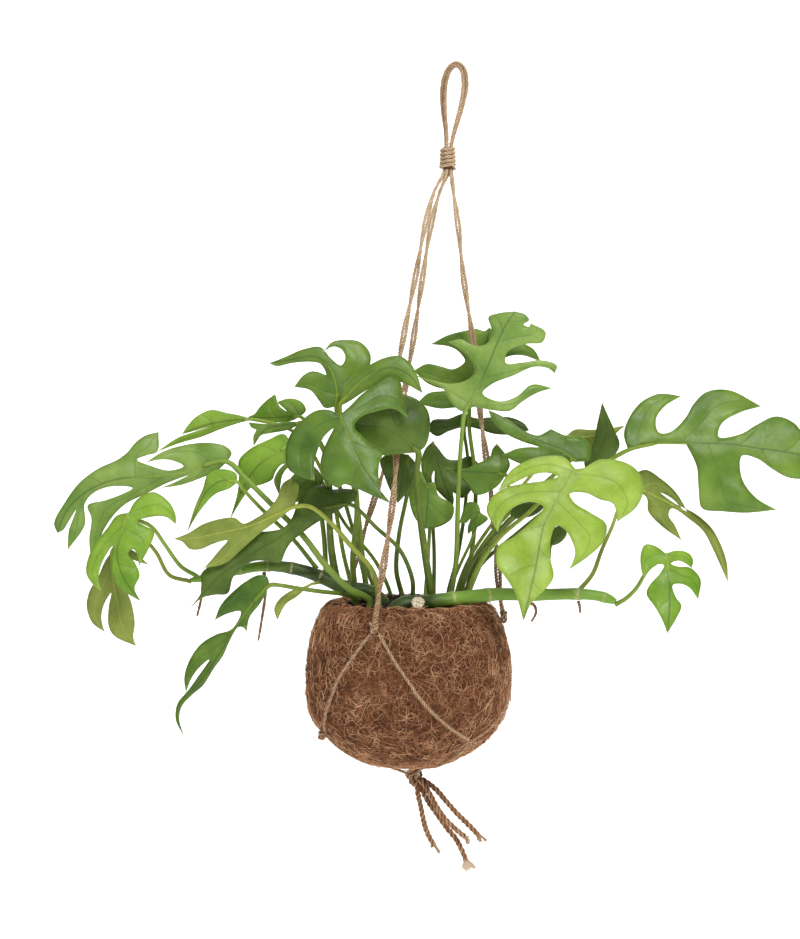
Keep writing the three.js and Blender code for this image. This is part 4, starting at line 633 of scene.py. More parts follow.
def lobe_edges(start, lobes, end):
    """The outer edge, and the inner one if it has a tip, of each lobe on one side of a leaf."""
    edges = [{} for _ in lobes]
    points, owners = [start], []

    def close():
        line = curve(points)
        first = 0
        for stop, number, kind in owners:
            edges[number][kind] = line[first:stop * PER_SEGMENT + 1]
            first = stop * PER_SEGMENT
        owners.clear()

    for number, item in enumerate(lobes):
        points += item["edge"]
        if item["tip"]:
            points.append(item["tip"])
            owners.append((len(points) - 1, number, "outer"))
            close()
            points = [item["tip"], *item["back"]]
        points.append(item["notch"] or end)
        owners.append((len(points) - 1, number, "inner" if item["tip"] else "outer"))
    close()
    return edges


def inside(points, outline):
    """Which points lie inside a closed outline."""
    x, z = points.T
    odd = np.zeros(len(points), bool)
    for (ax, az), (bx, bz) in zip(outline, np.roll(outline, -1, axis=0)):
        if az != bz:
            odd ^= ((az > z) != (bz > z)) & (x < (bx - ax) * (z - az) / (bz - az) + ax)
    return odd


def vein_foot(rib, place, back):
    """The place on the rib where a vein towards a point starts: nearer the base by some way."""
    share = nearest(np.array([place]), rib)[1][0]
    return rib[round(max(share - back / length_of(rib), 0.02) * RIB_COUNT)]


def side_veins(rib, edges):
    """The main vein of each lobe, and a few along a plain stretch of margin."""
    veins = []
    for edge in edges:
        outer = even(edge["outer"], 12)
        if "inner" in edge:
            middle = (outer + even(edge["inner"], 12)[::-1]) / 2
            veins.append(curve([vein_foot(rib, middle[0], 4), *middle[[3, 6, 9, 11]]], 8))
            continue
        for place in (outer[4], outer[8]):
            reach = float(nearest(np.array([place]), rib)[0][0])
            if reach > 8:
                foot = vein_foot(rib, place, reach * 0.7)
                bend = (foot + place) / 2 + (place - foot)[::-1] * (0.06, -0.06)
                veins.append(curve([foot, bend, foot + (place - foot) * 0.86], 8))
    return veins


def filled(outline, veins):
    """Points and triangles that fill an outline, with edges along its veins and a grid between them."""
    closed = np.vstack([outline, outline[:1]])
    low, high = outline.min(0), outline.max(0)
    pitch = float(np.clip(np.linalg.norm(high - low) / GRID_ROWS, *GRID_PITCHES))
    grid = np.stack(np.meshgrid(*[np.arange(low[k], high[k], pitch) for k in (0, 1)]), 2).reshape(-1, 2)
    grid = grid[inside(grid, outline)]
    grid = grid[nearest(grid, closed)[0] > pitch * 0.55]
    points, links, total = [outline], [], len(outline)
    for vein in veins:
        line = stepped(vein, VEIN_STEP)[1:]
        line = line[inside(line, outline) & (nearest(line, closed)[0] > 0.8)]
        if len(line) > 1:
            points.append(line)
            links += [(total + k, total + k + 1) for k in range(len(line) - 1)]
            total += len(line)
            grid = grid[nearest(grid, line)[0] > pitch * 0.5]
    placed = [Vector(p) for p in np.vstack([*points, grid])]
    made = delaunay_2d_cdt(placed, links, [list(range(len(outline)))], 1, 1e-5, False)
    placed, corners = np.array(made[0]), np.array(made[2])
    return placed, corners[inside(placed[corners].mean(1), outline)]


def side_net(rib, side):
    """One half of a blade on the picture plane: its points, triangles, veins and margin."""
    first = int(np.linalg.norm(rib - (side["start"] or rib[0]), axis=1).argmin())
    edges = lobe_edges(tuple(rib[first]), side["lobes"], tuple(rib[-1]))
    spans = [edge[kind] for edge in edges for kind in ("outer", "inner") if kind in edge]
    margin = np.vstack([rib[first], *[stepped(span, EDGE_STEP)[1:] for span in spans]])
    veins = side_veins(rib, edges)
    return *filled(np.vstack([rib[first:], margin[-2:0:-1]]), veins), veins, margin


def leaf_net(rib, sides):
    """The whole blade on the picture plane, both halves joined along the rib."""
    numbers, points, corners, veins, margins = {}, [], [], [], []
    for side in sides:
        placed, faces, side_lines, margin = side_net(rib, side)
        veins += side_lines
        margins.append(margin)
        index = []
        for x, z in placed:
            key = (round(x, 3), round(z, 3))
            if key not in numbers:
                numbers[key] = len(points)
                points.append((x, z))
            index.append(numbers[key])
        for face in faces:
            a, b, c = (index[k] for k in face)
            if len({a, b, c}) == 3:
                (ax, az), (bx, bz), (cx, cz) = points[a], points[b], points[c]
                turn = (bx - ax) * (cz - az) - (bz - az) * (cx - ax)
                corners.append((a, b, c) if turn > 0 else (a, c, b))
    return np.array(points), np.array(corners), veins, margins


def shows_underside(leaf):
    """Whether the underside faces the eye, as on every leaf with the olive look."""
    return leaf["look"] == "olive"


def blade_depth(leaf, rib, points):
    """How far behind the picture plane the blade lies: tilted, arched, folded along its rib and cupped."""
    along = rib[-1] - rib[0]
    share = np.clip((points - rib[0]) @ along / (along @ along), 0, 1)
    off = nearest(points, rib)[0]
    slope = np.array(leaf["slope"])
    return (leaf["depth"] + (points - rib[0]) @ slope + leaf["arch"] * 4 * share * (1 - share)
            + leaf["fold"] * off + CUPPING * off ** 2)


def dressed_depth(leaf, rib, points, gaps, seed):
    """The blade's depth with the quilting between its veins and its slow waves."""
    over_veins = 1 - np.exp(-(np.minimum(gaps["vein"], gaps["rib"]) / VEIN_HOLLOW) ** 2)
    rise = over_veins * (1 - np.exp(-gaps["edge"] / MARGIN_HOLLOW))
    x, z = points.T
    sway = (np.sin(x * 0.13 + seed) * np.sin(z * 0.11 + seed * 1.7)
            + 0.5 * np.sin(x * 0.05 + z * 0.24 + seed * 2.3))
    facing = 1 if shows_underside(leaf) else -1
    return (blade_depth(leaf, rib, points) + facing * QUILTING * rise
            + WAVES * sway * np.minimum(gaps["rib"] / FLAT_BY_RIB, 1))


def half_blades(middle, corners):
    """From the middle of a blade to its face at each point, half of its thickness away."""
    first, second, third = middle[corners.T]
    faces = np.cross(second - first, third - first)
    normals = np.zeros_like(middle)
    for k in range(3):
        np.add.at(normals, corners[:, k], faces)
    return normals * (BLADE / 2 / (np.linalg.norm(normals, axis=1)[:, None] + NEARLY_NOTHING))


def rim_faces(corners, count):
    """The faces round a blade's rim, between its front and its back with the same number of points."""
    edges = np.vstack([corners[:, [0, 1]], corners[:, [1, 2]], corners[:, [2, 0]]]).tolist()
    known = {(a, b) for a, b in edges}
    return np.array([(b, a, a + count, b + count) for a, b in edges if (b, a) not in known])


def add_blade(form, leaf, rib, seed):
    """Both faces of a blade, quilted between its veins, with its thin rim."""
    points, corners, veins, margins = leaf_net(rib, leaf["sides"])
    to_rib, share = nearest(points, rib)
    far = np.full(len(points), NO_VEIN)
    gaps = {"rib": to_rib, "vein": np.min([nearest(points, vein)[0] for vein in veins] + [far], axis=0),
            "edge": np.min([nearest(points, margin)[0] for margin in margins], axis=0)}
    middle = seen(np.column_stack([points, dressed_depth(leaf, rib, points, gaps, seed)]))
    away = half_blades(middle, corners)
    count = len(points)
    shown = 1.0 if shows_underside(leaf) else 0.0
    values = {key: np.tile(gap, 2) for key, gap in gaps.items()}
    form.add(np.vstack([middle + away, middle - away]), [corners, corners[:, ::-1] + count],
             under=np.repeat([shown, 1 - shown], count), share=np.tile(share, 2), **values)
    no_points = np.empty((0, 3))
    form.add(no_points, [rim_faces(corners, count) - 2 * count], smooth=False)


def rib_places(leaf, rib, places, shift=0):
    """Places on the rib in space, a little behind or before the blade's middle."""
    return seen(np.column_stack([places, blade_depth(leaf, rib, places) + shift]))


def stalk_path(leaf, rib):
    """The stalk's way from the soil or from its vine to the foot of the rib."""
    path = list(seen(leaf["route"]))
    if leaf["foot"]:
        x, y = leaf["foot"]
        path = [np.array((x, y, z), float) for z in FOOT_HEIGHTS] + path
    else:
        back = path[0] - path[1]
        path.insert(0, path[0] + back / np.linalg.norm(back) * SUNK_INTO_VINE)
    base, heel = rib_places(leaf, rib, even(rib, RIB_SHARES)[leaf["joint"]:leaf["joint"] + 2])
    turns_back = (base - path[-1]) @ (heel - base) < 0
    return curve(path + ([base + (heel - base) * 0.4] if turns_back else [base, heel]), 6)


def add_stalk(form, leaf, rib):
    """The leaf's stalk with its swollen joint, running on as the raised midrib on the underside."""
    line = stalk_path(leaf, rib)
    t = np.linspace(0, 1, len(line))
    radii = leaf["thick"] + (leaf["thin"] - leaf["thick"]) * t
    joint = np.exp(-((t - STALK_JOINT["place"]) / STALK_JOINT["width"]) ** 2)
    radii = radii * (1 + STALK_JOINT["swelling"] * joint)
    form.add(*tube(line, radii, STALK_SIDES), slot=1, share=np.repeat(t, STALK_SIDES))
    first = round(leaf["joint"] / RIB_SHARES * RIB_COUNT)
    ridge = rib_places(leaf, rib, rib[first:-1], -MIDRIB_SHIFT if shows_underside(leaf) else MIDRIB_SHIFT)
    width = np.linspace(leaf["thin"] * 0.75, MIDRIB_END, len(ridge))
    form.add(*tube(ridge, width, MIDRIB_SIDES), slot=1, share=1.0)


def add_leaf(leaf, seed):
    rib = even(curve(leaf["rib"]), RIB_COUNT)
    form = Form("under", "rib", "vein", "edge", "share")
    add_blade(form, leaf, rib, seed)
    add_stalk(form, leaf, rib)
    name, look = leaf["name"], leaf["look"]
    tint = TINTS.get(name, look)
    form.piece("dressed_" + name, [BLADES[tint], STALK_LOOKS[tint]], "leaf_" + look, name)


# Vines, old stem and aerial roots

# The factor after thin sets how soon along each vine its painted shade near the soil gives way to green.
VINES = [
  dict(name="vine_left", thick=6, thin=2.4, shade_pace=1, foot=(-16, -8),
    nodes=(0.3, 0.42, 0.55, 0.66, 0.78, 0.9),
    route=[(-26, 9, -12), (-42, 12, -16), (-58, 19, -18), (-72, 24, -19), (-88, 27, -20), (-102, 27, -20),
      (-118, 24, -18), (-134, 20, -15), (-150, 17.5, -12)]),
  dict(name="vine_right", thick=6.2, thin=3.3, shade_pace=1.5, foot=(-9, -32.5),
    nodes=(0.46, 0.61, 0.72, 0.81, 0.93),
    route=[(-2, 1, -31.5), (6.5, 1.5, -30), (17, 2.8, -34), (30, 4.4, -31), (44, 6.2, -26), (60, 7.8, -20),
      (88, 7.5, -20), (118, 8, -18), (132, 6.5, -17), (143, 2.8, -17)]),
]
ROOTS = {
  "root_left_long": [(-99, 23.3, -20), (-98, 10, -21), (-101, -12, -21), (-103, -24, -20)],
  "root_left_short": [(-141, 15.4, -14), (-142, 6, -14), (-145, -7, -13)],
  "root_right_long": [(84, 2, -20), (87, 0, -20), (88, -5, -21), (85, -11, -21)],
  "root_right_short": [(117, 3.2, -18), (118, 0, -18), (118.5, -5, -18)],
}
CUT_STEM_CENTRE = (6.5, -41.8, 5)
CUT_STEM_RISE = 0.6
CUT_STEM_SIDES = 40
# Heights along the stump with the radii there, and the reach that tells its look pith from bark.
CUT_STEM_PROFILE = [(-5, 4.6), (2.2, 4.8), (2.8, 4.7), (3, 4.3), (2.75, 3.9), (2.75, 0.2)]
CUT_STEM_REACH = (9, 9, 9, 4.3, 3.9, 0.2)


def add_vine(stem):
    """A creeping stem with a swollen, ringed node where each leaf grew."""
    x, y = stem["foot"]
    line = curve([(x, y, -12), (x, y, -1), *seen(stem["route"])], STEM_STEPS)
    t = np.linspace(0, 1, len(line))
    radii = stem["thick"] + (stem["thin"] - stem["thick"]) * t
    scar = np.zeros(len(line))
    for node in stem["nodes"]:
        radii = radii * (1 + VINE_NODE["swelling"] * np.exp(-((t - node) / VINE_NODE["width"]) ** 2))
        scar = np.maximum(scar, np.exp(-((t - node) / SCAR_WIDTH) ** 2))
    tip = ((t - VINE_TIP) / (1 - VINE_TIP)).clip(0)
    radii *= 1 - 0.5 * tip ** 2
    form = Form("share", "scar")
    # The share along the vine, quickened by that factor, tells the look where its painted shade gives way to
    # green.
    form.add(*tube(line, radii, VINE_SIDES), share=np.repeat(t * stem["shade_pace"], VINE_SIDES),
             scar=np.repeat(scar, VINE_SIDES))
    form.piece("dressed_" + stem["name"], [VINE_LOOK], "vine", stem["name"])


def add_root(name, seed):
    line = curve(seen(ROOTS[name]), STEM_STEPS)
    t = np.linspace(0, 1, len(line))
    radii = (1.2 - 0.5 * t) * (1 + 0.18 * np.sin(t * 41 + seed) * np.sin(t * 17))
    form = Form("share")
    form.add(*tube(line, radii, ROOT_SIDES), share=np.repeat(t, ROOT_SIDES))
    form.piece("dressed_" + name, [ROOT_LOOK], "root", name)


def add_cut_stem():
    """The old stem's stump, its pale end with rings of pores a little sunk inside the bark."""
    axis = np.array((0, -math.cos(CUT_STEM_RISE), math.sin(CUT_STEM_RISE)))
    heights, radii = np.array(CUT_STEM_PROFILE).T
    line = np.array(CUT_STEM_CENTRE) + heights[:, None] * axis
    angle = np.arange(CUT_STEM_SIDES) / CUT_STEM_SIDES * 2 * np.pi
    side = np.array((1.0, 0, 0))
    uneven = 1 + 0.03 * np.sin(3 * angle) + 0.02 * np.sin(7 * angle)
    ring = around(angle, side, np.cross(axis, side)) * uneven[:, None]
    points = (line[:, None] + ring[None] * radii[:, None, None]).reshape(-1, 3)
    form = Form("reach")
    form.add(points, tube_faces(len(line), CUT_STEM_SIDES), reach=np.repeat(CUT_STEM_REACH, CUT_STEM_SIDES))
    form.piece("dressed_cut_stem", [CUT_LOOK], "cut_stem", "cut_stem")


# Ball and soil


def add_shell():
    """The ball of pressed fibre: lumpy and rough outside, with its wall down inside the mouth."""
    outside = stepped(curve(SHELL_OUTSIDE, 12), 1.6)
    within = stepped(curve(SHELL_INSIDE, 12), 5)
    points, faces = spun(np.vstack([outside, within]), SHELL_SIDES)
    out = units(points * (1, 1, 0.7) + (0, 0, 30))
    lump = rough(points, 24, 1) * 0.7 + rough(points, 9, 2) * 0.5 + rough(points, 3.2, 3) * 0.35
    form = Form("hollow")
    # hollow holds how far each point is pushed in; the mat's look paints shade where it is deepest.
    form.add(points - out * (1.1 + lump)[:, None] * 0.8, faces, hollow=lump)
    form.piece("fibre_shell", [COIR_LOOK], "coir", "coir_shell")


def ball_place(run, angle, profile):
    """Places on the ball at lengths along its profile and angles round it, and the way out there."""
    arc, step = runs(profile), 1.5
    radius = np.interp(run, arc, profile[:, 0])
    height = np.interp(run, arc, profile[:, 1])
    rise = np.interp(run + step, arc, profile[:, 1]) - np.interp(run - step, arc, profile[:, 1])
    widen = np.interp(run + step, arc, profile[:, 0]) - np.interp(run - step, arc, profile[:, 0])
    size = np.hypot(rise, widen) + 1e-9
    place = np.stack([radius * np.cos(angle), radius * np.sin(angle), height], -1)
    out = np.stack([rise / size * np.cos(angle), rise / size * np.sin(angle), -widen / size], -1)
    return place, out


def wandering(draw, count, length, curl, profile):
    """Ways over the ball, each with its own curl, as lengths along its profile and angles round it."""
    arc = runs(profile)
    weight = profile[:, 0].clip(1)
    spread = np.concatenate([[0], np.cumsum((weight[1:] + weight[:-1]) / 2 * np.diff(arc))])
    run, angle = np.empty((2, count, FIBRE_STEPS))
    run[:, 0] = np.interp(draw.uniform(0, spread[-1], count), spread, arc)
    angle[:, 0] = draw.uniform(0, 2 * np.pi, count)
    heading = draw.uniform(0, 2 * np.pi, count)
    turn = draw.normal(0, curl, count)
    pace = draw.uniform(*length, count) / (FIBRE_STEPS - 1)
    for k in range(1, FIBRE_STEPS):
        radius = np.interp(run[:, k - 1], arc, profile[:, 0]).clip(4)
        run[:, k] = np.clip(run[:, k - 1] + pace * np.cos(heading), 0, arc[-1])
        angle[:, k] = angle[:, k - 1] + pace * np.sin(heading) / radius
        heading = heading + turn + draw.normal(0, curl * 0.6, count)
    return run, angle


def add_fibres(name, seed, count, length, thickness, lift, curl, tones):
    """Coconut fibres that wander over the ball, rising from the mat and sinking into it again."""
    draw = np.random.default_rng(seed)
    profile = curve([*SHELL_OUTSIDE, SHELL_INSIDE[0]], 12)
    place, out = ball_place(*wandering(draw, count, length, curl, profile), profile)
    most = draw.uniform(*lift, count)[:, None]
    swing = np.linspace(0, 3, FIBRE_STEPS) + draw.uniform(0, 6, count)[:, None]
    lines = place + out * (most * (0.5 + 0.5 * np.sin(swing)) - 0.5)[..., None]
    form = Form("tone")
    points, faces = threads(lines, out, draw.uniform(*thickness, count))
    form.add(points, faces, tone=np.repeat(draw.uniform(*tones, count), len(points) // count))
    form.piece(name, [FIBRE_LOOK], "coir")


def add_crumb(form, draw):
    """A crumb or bit of bark somewhere on the soil, turned and tipped any way."""
    reach, angle = 43 * math.sqrt(draw.uniform()), draw.uniform(0, 2 * math.pi)
    top = np.interp(reach, *np.array(SOIL_SURFACE).T) + draw.uniform(0, 1.4)
    size = draw.uniform(0.7, 2.3)
    block, faces = spun(CRUMB, 6)
    shape = block * size * (1, draw.uniform(0.5, 1), draw.uniform(0.4, 0.9))
    turn, tip = draw.uniform(0, 6.3, 2)
    c, s = math.cos(tip), math.sin(tip)
    shape = turned(shape, turn) @ np.array(((1, 0, 0), (0, c, s), (0, -s, c)))
    place = (reach * math.cos(angle), reach * math.sin(angle), top)
    form.add(shape + place, faces, smooth=False, tone=draw.uniform(0, 1))


def add_soil():
    """Dark potting mix that fills the ball, its top broken into crumbs and bits of bark."""
    points, faces = spun(stepped(curve(SOIL_SURFACE, 12), 0.9), SOIL_SIDES)
    height = rough(points, 9, 5) * 1.6 + rough(points, 3.4, 6) * 1.1 + rough(points, 1.5, 7) * 0.5
    points[:, 2] += height
    form = Form("tone")
    # Painted shade: the soil is darker where its surface dips and lighter where it rises.
    form.add(points, faces, tone=0.3 + 0.3 * height)
    below = [(r - 0.9 if r else 0, z + 0.45) for r, z in SHELL_INSIDE]
    form.add(*spun(below, 40), tone=0.2)
    draw = np.random.default_rng(SEEDS["soil"])
    for _ in range(CRUMB_COUNT):
        add_crumb(form, draw)
    form.piece("soil", [SOIL_LOOK], "potting_mix", "potting_mix")


# Twine

LOOP_KNOT = dict(x=27, z=306, radius=6, height=16)
LOOP_WIDTH = 17
LOOP_SHARES = {-1: 0.68, 0: 1, 1: 0.84}
LOOP_DROPS = {-1: 2.8, 0: 0, 1: 1.4}
LOOP_SHAPE = [(-0.12, 0), (-0.35, 0.25), (-0.85, 0.55), (-1, 0.78), (-0.62, 0.95), (0, 1), (0.62, 0.95),
  (1, 0.78), (0.85, 0.55), (0.35, 0.25), (0.12, 0)]
LEG_START = 296.85
LEG_STARTS = {"front": (150, 210), "right": (-30, 30), "back": (90, 270)}
UPPER_KNOT = 3.8
LOWER_KNOT = 3.5
UPPER_KNOTS = {"front": (-110, -9), "right": (4, -9), "back": (135, -9)}
LOWER_KNOTS = {"left": (-158, -84), "right": (-46, -86), "back": (75, -85)}
LEGS = {
  "front": [(18, 284, -4), (12, 262, -7), (5, 225, -12), (-3, 185, -18), (-7, 160, -22), (-7.5, 120, -29),
    (-9, 85, -38), (-14, 45, -52), (-19, 14, -62)],
  "right": [(31, 284, 1), (34, 262, 2), (38, 225, 3), (44, 185, 3), (47, 158, 3), (50, 128, 3), (54, 100, 3),
    (58, 68, 4), (61, 35, 5), (63, 8, 5)],
  "back": [(22, 284, 3), (16, 262, 7), (10, 225, 13), (4, 185, 19), (-2, 150, 25), (-10, 115, 31),
    (-21, 80, 38), (-32, 45, 44), (-41, 14, 48)],
}
NET = [
  [(-112.7, -12.8), (-122, -28), (-131, -43), (-136, -55), (-144, -69), LOWER_KNOTS["left"]],
  [(-107.3, -12.8), (-98, -29), (-90, -43), (-82, -57), (-71, -70), (-58, -80), LOWER_KNOTS["right"]],
  [(1.5, -13.3), (-1, -33), (-7, -48), (-15, -62), (-27, -76), (-38, -83), LOWER_KNOTS["right"]],
  [(6.6, -13.3), (17, -33), (30, -50), (42, -66), (57, -79), LOWER_KNOTS["back"]],
  [(137.7, -12.8), (149, -31), (161, -47), (172, -62), (186, -76), (202, -84)],
  [(132.3, -12.8), (122, -33), (112, -50), (102, -66), (89, -79), LOWER_KNOTS["back"]],
]
UNDERSIDE = (-92, -98, -103, -107, -109.6)
BOTTOM_KNOT = (4, 0, -118)
BOTTOM_TURNS = ((6.2, 0.4), (5.4, 1.5), (4.8, 2.6))
TAILS = [
  [(6.3, -124.9, -2), (7, -131, -3), (9, -140, -3), (11, -150, -2), (14, -159, -1), (18, -166, 0)],
  [(10.1, -122.4, -2.9), (15, -130, -4), (19, -138, -4), (25, -147, -4), (32, -154, -4), (39, -160, -3)],
  [(7.9, -123.9, 1.8), (13, -134, 3), (19, -143, 4), (26, -153, 4), (34, -163, 4), (40, -176, 3)],
  [(10.9, -120.8, 0.6), (19, -127, 1), (26, -135, 1), (34, -144, 1), (42, -152, 0), (48.5, -159, 0)],
]


def on_ball(place, lift=TWINE / 2 - PRESSED):
    """A place on the ball's outside at an angle round it and a height, pressed a little into the fibre."""
    degrees, z = place
    i = next(k for k in range(1, len(SHELL_OUTSIDE)) if SHELL_OUTSIDE[k][1] >= z)
    (r0, z0), (r1, z1) = SHELL_OUTSIDE[i - 1:i + 1]
    out = np.array((z1 - z0, r0 - r1)) / math.hypot(z1 - z0, r0 - r1) * lift
    radius = r0 + (r1 - r0) * (z - z0) / (z1 - z0) + out[0]
    angle = math.radians(degrees)
    return np.array((radius * math.cos(angle), radius * math.sin(angle), z + out[1]))


def add_twine(form, line, phase, thickness, pale):
    """Jute twine as three plies laid round each other, with a thickness and paleness for each end."""
    thickness = np.broadcast_to(thickness, 2)
    line = stepped(line, thickness.mean() * 0.24, 8)
    _, across, up = frames(line)
    run = np.linspace(0, length_of(line), len(line))[:, None]
    turn = np.arange(PLY_SIDES) / PLY_SIDES * 2 * np.pi
    ply_angle = 2 * np.pi / 3
    reach = np.cos((turn + ply_angle / 2) % ply_angle - ply_angle / 2)
    uneven = 1 + 0.06 * np.sin(run * 0.71 + phase) * np.cos(turn + phase) + 0.03 * np.sin(run * 0.23 + phase)
    radii = np.linspace(*thickness / 2, len(line))[:, None] * reach * uneven
    angle = turn + run / (PLY_PITCH * thickness.mean()) * 2 * np.pi + phase
    way = around(angle, across[:, None], up[:, None])
    points = (line[:, None] + way * radii[..., None]).reshape(-1, 3)
    ply_tone = 0.18 * np.sin(np.floor(turn / ply_angle + 0.5) % 3 * 2.4 + phase)
    tone = np.linspace(*np.broadcast_to(pale, 2), len(line))[:, None] + ply_tone
    # groove is how far each point stands out on its ply; the jute look paints shade where it is low.
    form.add(points, tube_faces(len(line), PLY_SIDES), groove=np.tile(reach, len(line)), tone=tone.ravel())


def add_hairs(form, line, draw):
    """Short fibres that stand off a length of twine."""
    line = stepped(line, 1.5, 8)
    _, across, up = frames(line)
    count = int(length_of(line) / HAIR_SPACING)
    spot = draw.integers(0, len(line) - 1, count)
    out = around(draw.uniform(0, 2 * np.pi, count), across[spot], up[spot])
    along = units(line[spot + 1] - line[spot])
    far = draw.uniform(*HAIR_REACH, count)[:, None]
    off = draw.uniform(*HAIR_RISE, count)[:, None]
    side = np.cross(along, out) * draw.normal(0, 0.5, count)[:, None]
    start = line[spot] + out * TWINE / 2 * 0.75
    lines = np.stack([start + along * far * k + out * off * k ** 1.5 + side * k ** 2 for k in HAIR_SHARES], 1)
    facing = np.broadcast_to(out[:, None], lines.shape)
    points, faces = threads(lines, facing, draw.uniform(*HAIR_THICKNESS, count))
    form.add(points, faces, groove=1.0, tone=np.repeat(draw.uniform(0.5, 1, count), len(points) // count))


def add_strand(form, line, draw, *twine):
    """Twine with its hairs."""
    add_twine(form, line, *twine)
    add_hairs(form, line, draw)


def add_knot(form, centre, radii, draw, turn):
    """An overhand knot drawn tight: the twine's closed trefoil, squeezed into the knot's size."""
    t = np.linspace(0, 2 * np.pi, KNOT_STEPS)
    line = np.stack([np.sin(t) + 2 * np.sin(2 * t), -1.6 * np.sin(3 * t), np.cos(t) - 2 * np.cos(2 * t)], 1)
    line = turned(line / 3, turn)
    line = np.array(centre) + line * (np.array(radii) - TWINE * 0.42)
    add_strand(form, line, draw, turn, TWINE, PALENESS["knots"])


def add_core(form, centre, heights, radius, groove, tone):
    """What fills the inside of a knot, hidden by the turns round it; it bears the grooves' painted shade."""
    x, y, z = centre
    points, faces = tube([(x, y, z + height) for height in heights], radius, 12)
    form.add(points, faces, groove=groove, tone=tone)


def jute(seed):
    return Form("groove", "tone"), np.random.default_rng(seed)


def loop_line(row):
    """One of the loop's three turns, from the knot up, over and back."""
    x, z = LOOP_KNOT["x"], LOOP_KNOT["z"]
    half_width = LOOP_WIDTH / 2 * LOOP_SHARES[row]
    reach = LOOP_TOP[2] + TWINE / 2 - z - LOOP_DROPS[row]
    lean = (LOOP_TOP[0] - x) / (LOOP_TOP[2] - z)
    return curve([(x + across * half_width + lean * up * reach, row * (TWINE + 0.3), z + up * reach)
                  for across, up in LOOP_SHAPE])


def add_loop():
    """The loop's turns and the twine wound tight round their foot."""
    form, draw = jute(SEEDS["loop"])
    for row in LOOP_SHARES:
        add_strand(form, loop_line(row), draw, row, TWINE, PALENESS["loop"])
    turn = np.linspace(0, 2 * np.pi * 5, 160)
    height = np.linspace(-1, 1, 160) * (LOOP_KNOT["height"] / 2 - TWINE / 2)
    radius = LOOP_KNOT["radius"] - TWINE * 0.45 - 0.6 * (height / 8 + 1) / 2
    x, z = LOOP_KNOT["x"], LOOP_KNOT["z"]
    wrap = np.stack([x + radius * np.cos(turn), radius * np.sin(turn), z + height], 1)
    add_strand(form, wrap, draw, 0, TWINE, PALENESS["loop"])
    add_core(form, (x, 0, z), (-7.5, -3, 3, 7.5), 3.6, 0.4, 0.4)
    form.piece("jute_loop", [JUTE_LOOK], "twine", "hanger_loop")


def laid_together(left, right):
    """Two strands that turn slowly round the line between them."""
    closeness = np.linspace(*PAIR_CLOSENESS, len(left))[:, None]
    middle, half_way = (left + right) / 2, (right - left) / 2 * closeness
    along = units(np.gradient(middle, axis=0))
    turn = (runs(middle) / PAIR_TURN * 2 * np.pi)[:, None]
    half_way = np.cos(turn) * half_way + np.sin(turn) * np.cross(along, half_way)
    return middle - half_way, middle + half_way


def add_leg(key, seed):
    """Two strands side by side from the loop's knot down to the knot at the ball's mouth."""
    form, draw = jute(seed)
    end = on_ball(UPPER_KNOTS[key], UPPER_KNOT)
    strands = []
    for degrees, sign in zip(LEG_STARTS[key], (-1, 1)):
        angle = math.radians(degrees)
        x, y = LOOP_KNOT["x"] + PAIR_SPACING * math.cos(angle), PAIR_SPACING * math.sin(angle)
        side = np.array((sign * PAIR_SPACING / 2, 0, 0))
        top = [(x, y, LEG_START + 4), (x, y, LEG_START)]
        strands.append(curve([*top, *(seen(LEGS[key]) + side), end + side * 0.4]))
    for sign, line in zip((-1, 1), laid_together(*strands)):
        add_strand(form, line, draw, sign, LEG_TWINE, PALENESS["legs"])
    turn = math.radians(UPPER_KNOTS[key][0]) + KNOT_TURN
    add_knot(form, end, (UPPER_KNOT, UPPER_KNOT, UPPER_KNOT * 1.3), draw, turn)
    form.piece("jute_leg_" + key, [JUTE_LOOK], "twine", "hanger_leg_" + key)


def add_net():
    """The net round the ball, its lower knots and the knot that gathers it under the ball."""
    form, draw = jute(SEEDS["net"])
    for number, route in enumerate(NET):
        line = curve([on_ball(place) for place in route])
        add_strand(form, line, draw, number, NET_TWINE, PALENESS["net"])
    for degrees, z in LOWER_KNOTS.values():
        line = curve([*[on_ball((degrees, low)) for low in (z, *UNDERSIDE)], BOTTOM_KNOT])
        add_strand(form, line, draw, degrees, NET_TWINE, PALENESS["net"])
        knot = on_ball((degrees, z), LOWER_KNOT - PRESSED)
        add_knot(form, knot, (LOWER_KNOT,) * 3, draw, math.radians(degrees) + KNOT_TURN)
    add_core(form, BOTTOM_KNOT, (-5, -2, 2, 6), 3.4, 0.5, 0.3)
    for size, turn in BOTTOM_TURNS:
        add_knot(form, BOTTOM_KNOT, (size, size, size + 1), draw, turn)
    form.piece("jute_net", [JUTE_LOOK], "twine", "hanger_net")


def add_brush(form, place, tip, pale, draw):
    """The teased fibres at the end of one ply."""
    count = BRUSH_COUNTS[pale]
    away = units(tip + draw.normal(0, 0.2, (count, 3)))
    root = place + draw.normal(0, 0.45, (count, 3))
    reach = draw.uniform(*BRUSH_REACHES[pale], count)[:, None]
    droop = np.array((0, 0, -1.0))
    lines = np.stack([root + away * reach * k + droop * k ** 2 for k in BRUSH_SHARES], 1)
    facing = np.broadcast_to(np.cross(tip, (0, 1.0, 0)), lines.shape)
    points, faces = threads(lines, facing, draw.uniform(*BRUSH_THICKNESS, count))
    tone = draw.uniform(0.35, 0.85, count) + 0.9 * pale
    form.add(points, faces, groove=1.0, tone=np.repeat(tone, len(points) // count))


def add_fray(fray, line, pale, draw):
    """The three plies at a tail's end, untwisted, each with its teased fibres."""
    tip = line[-1] - line[-4]
    tip /= np.linalg.norm(tip)
    for _ in range(3):
        away = tip * TAIL_END + draw.normal(0, 1, 3) * FRAY_SPREAD
        end = np.stack([line[-2] + away * k + (0, 0, -0.8 * k * k) for k in FRAY_SHARES])
        points, faces = tube(end, FRAY_RADII, 8)
        fray.add(points, faces, groove=0.8, tone=0.4 + 0.4 * pale)
        add_brush(fray, end[-2], away / np.linalg.norm(away), pale, draw)


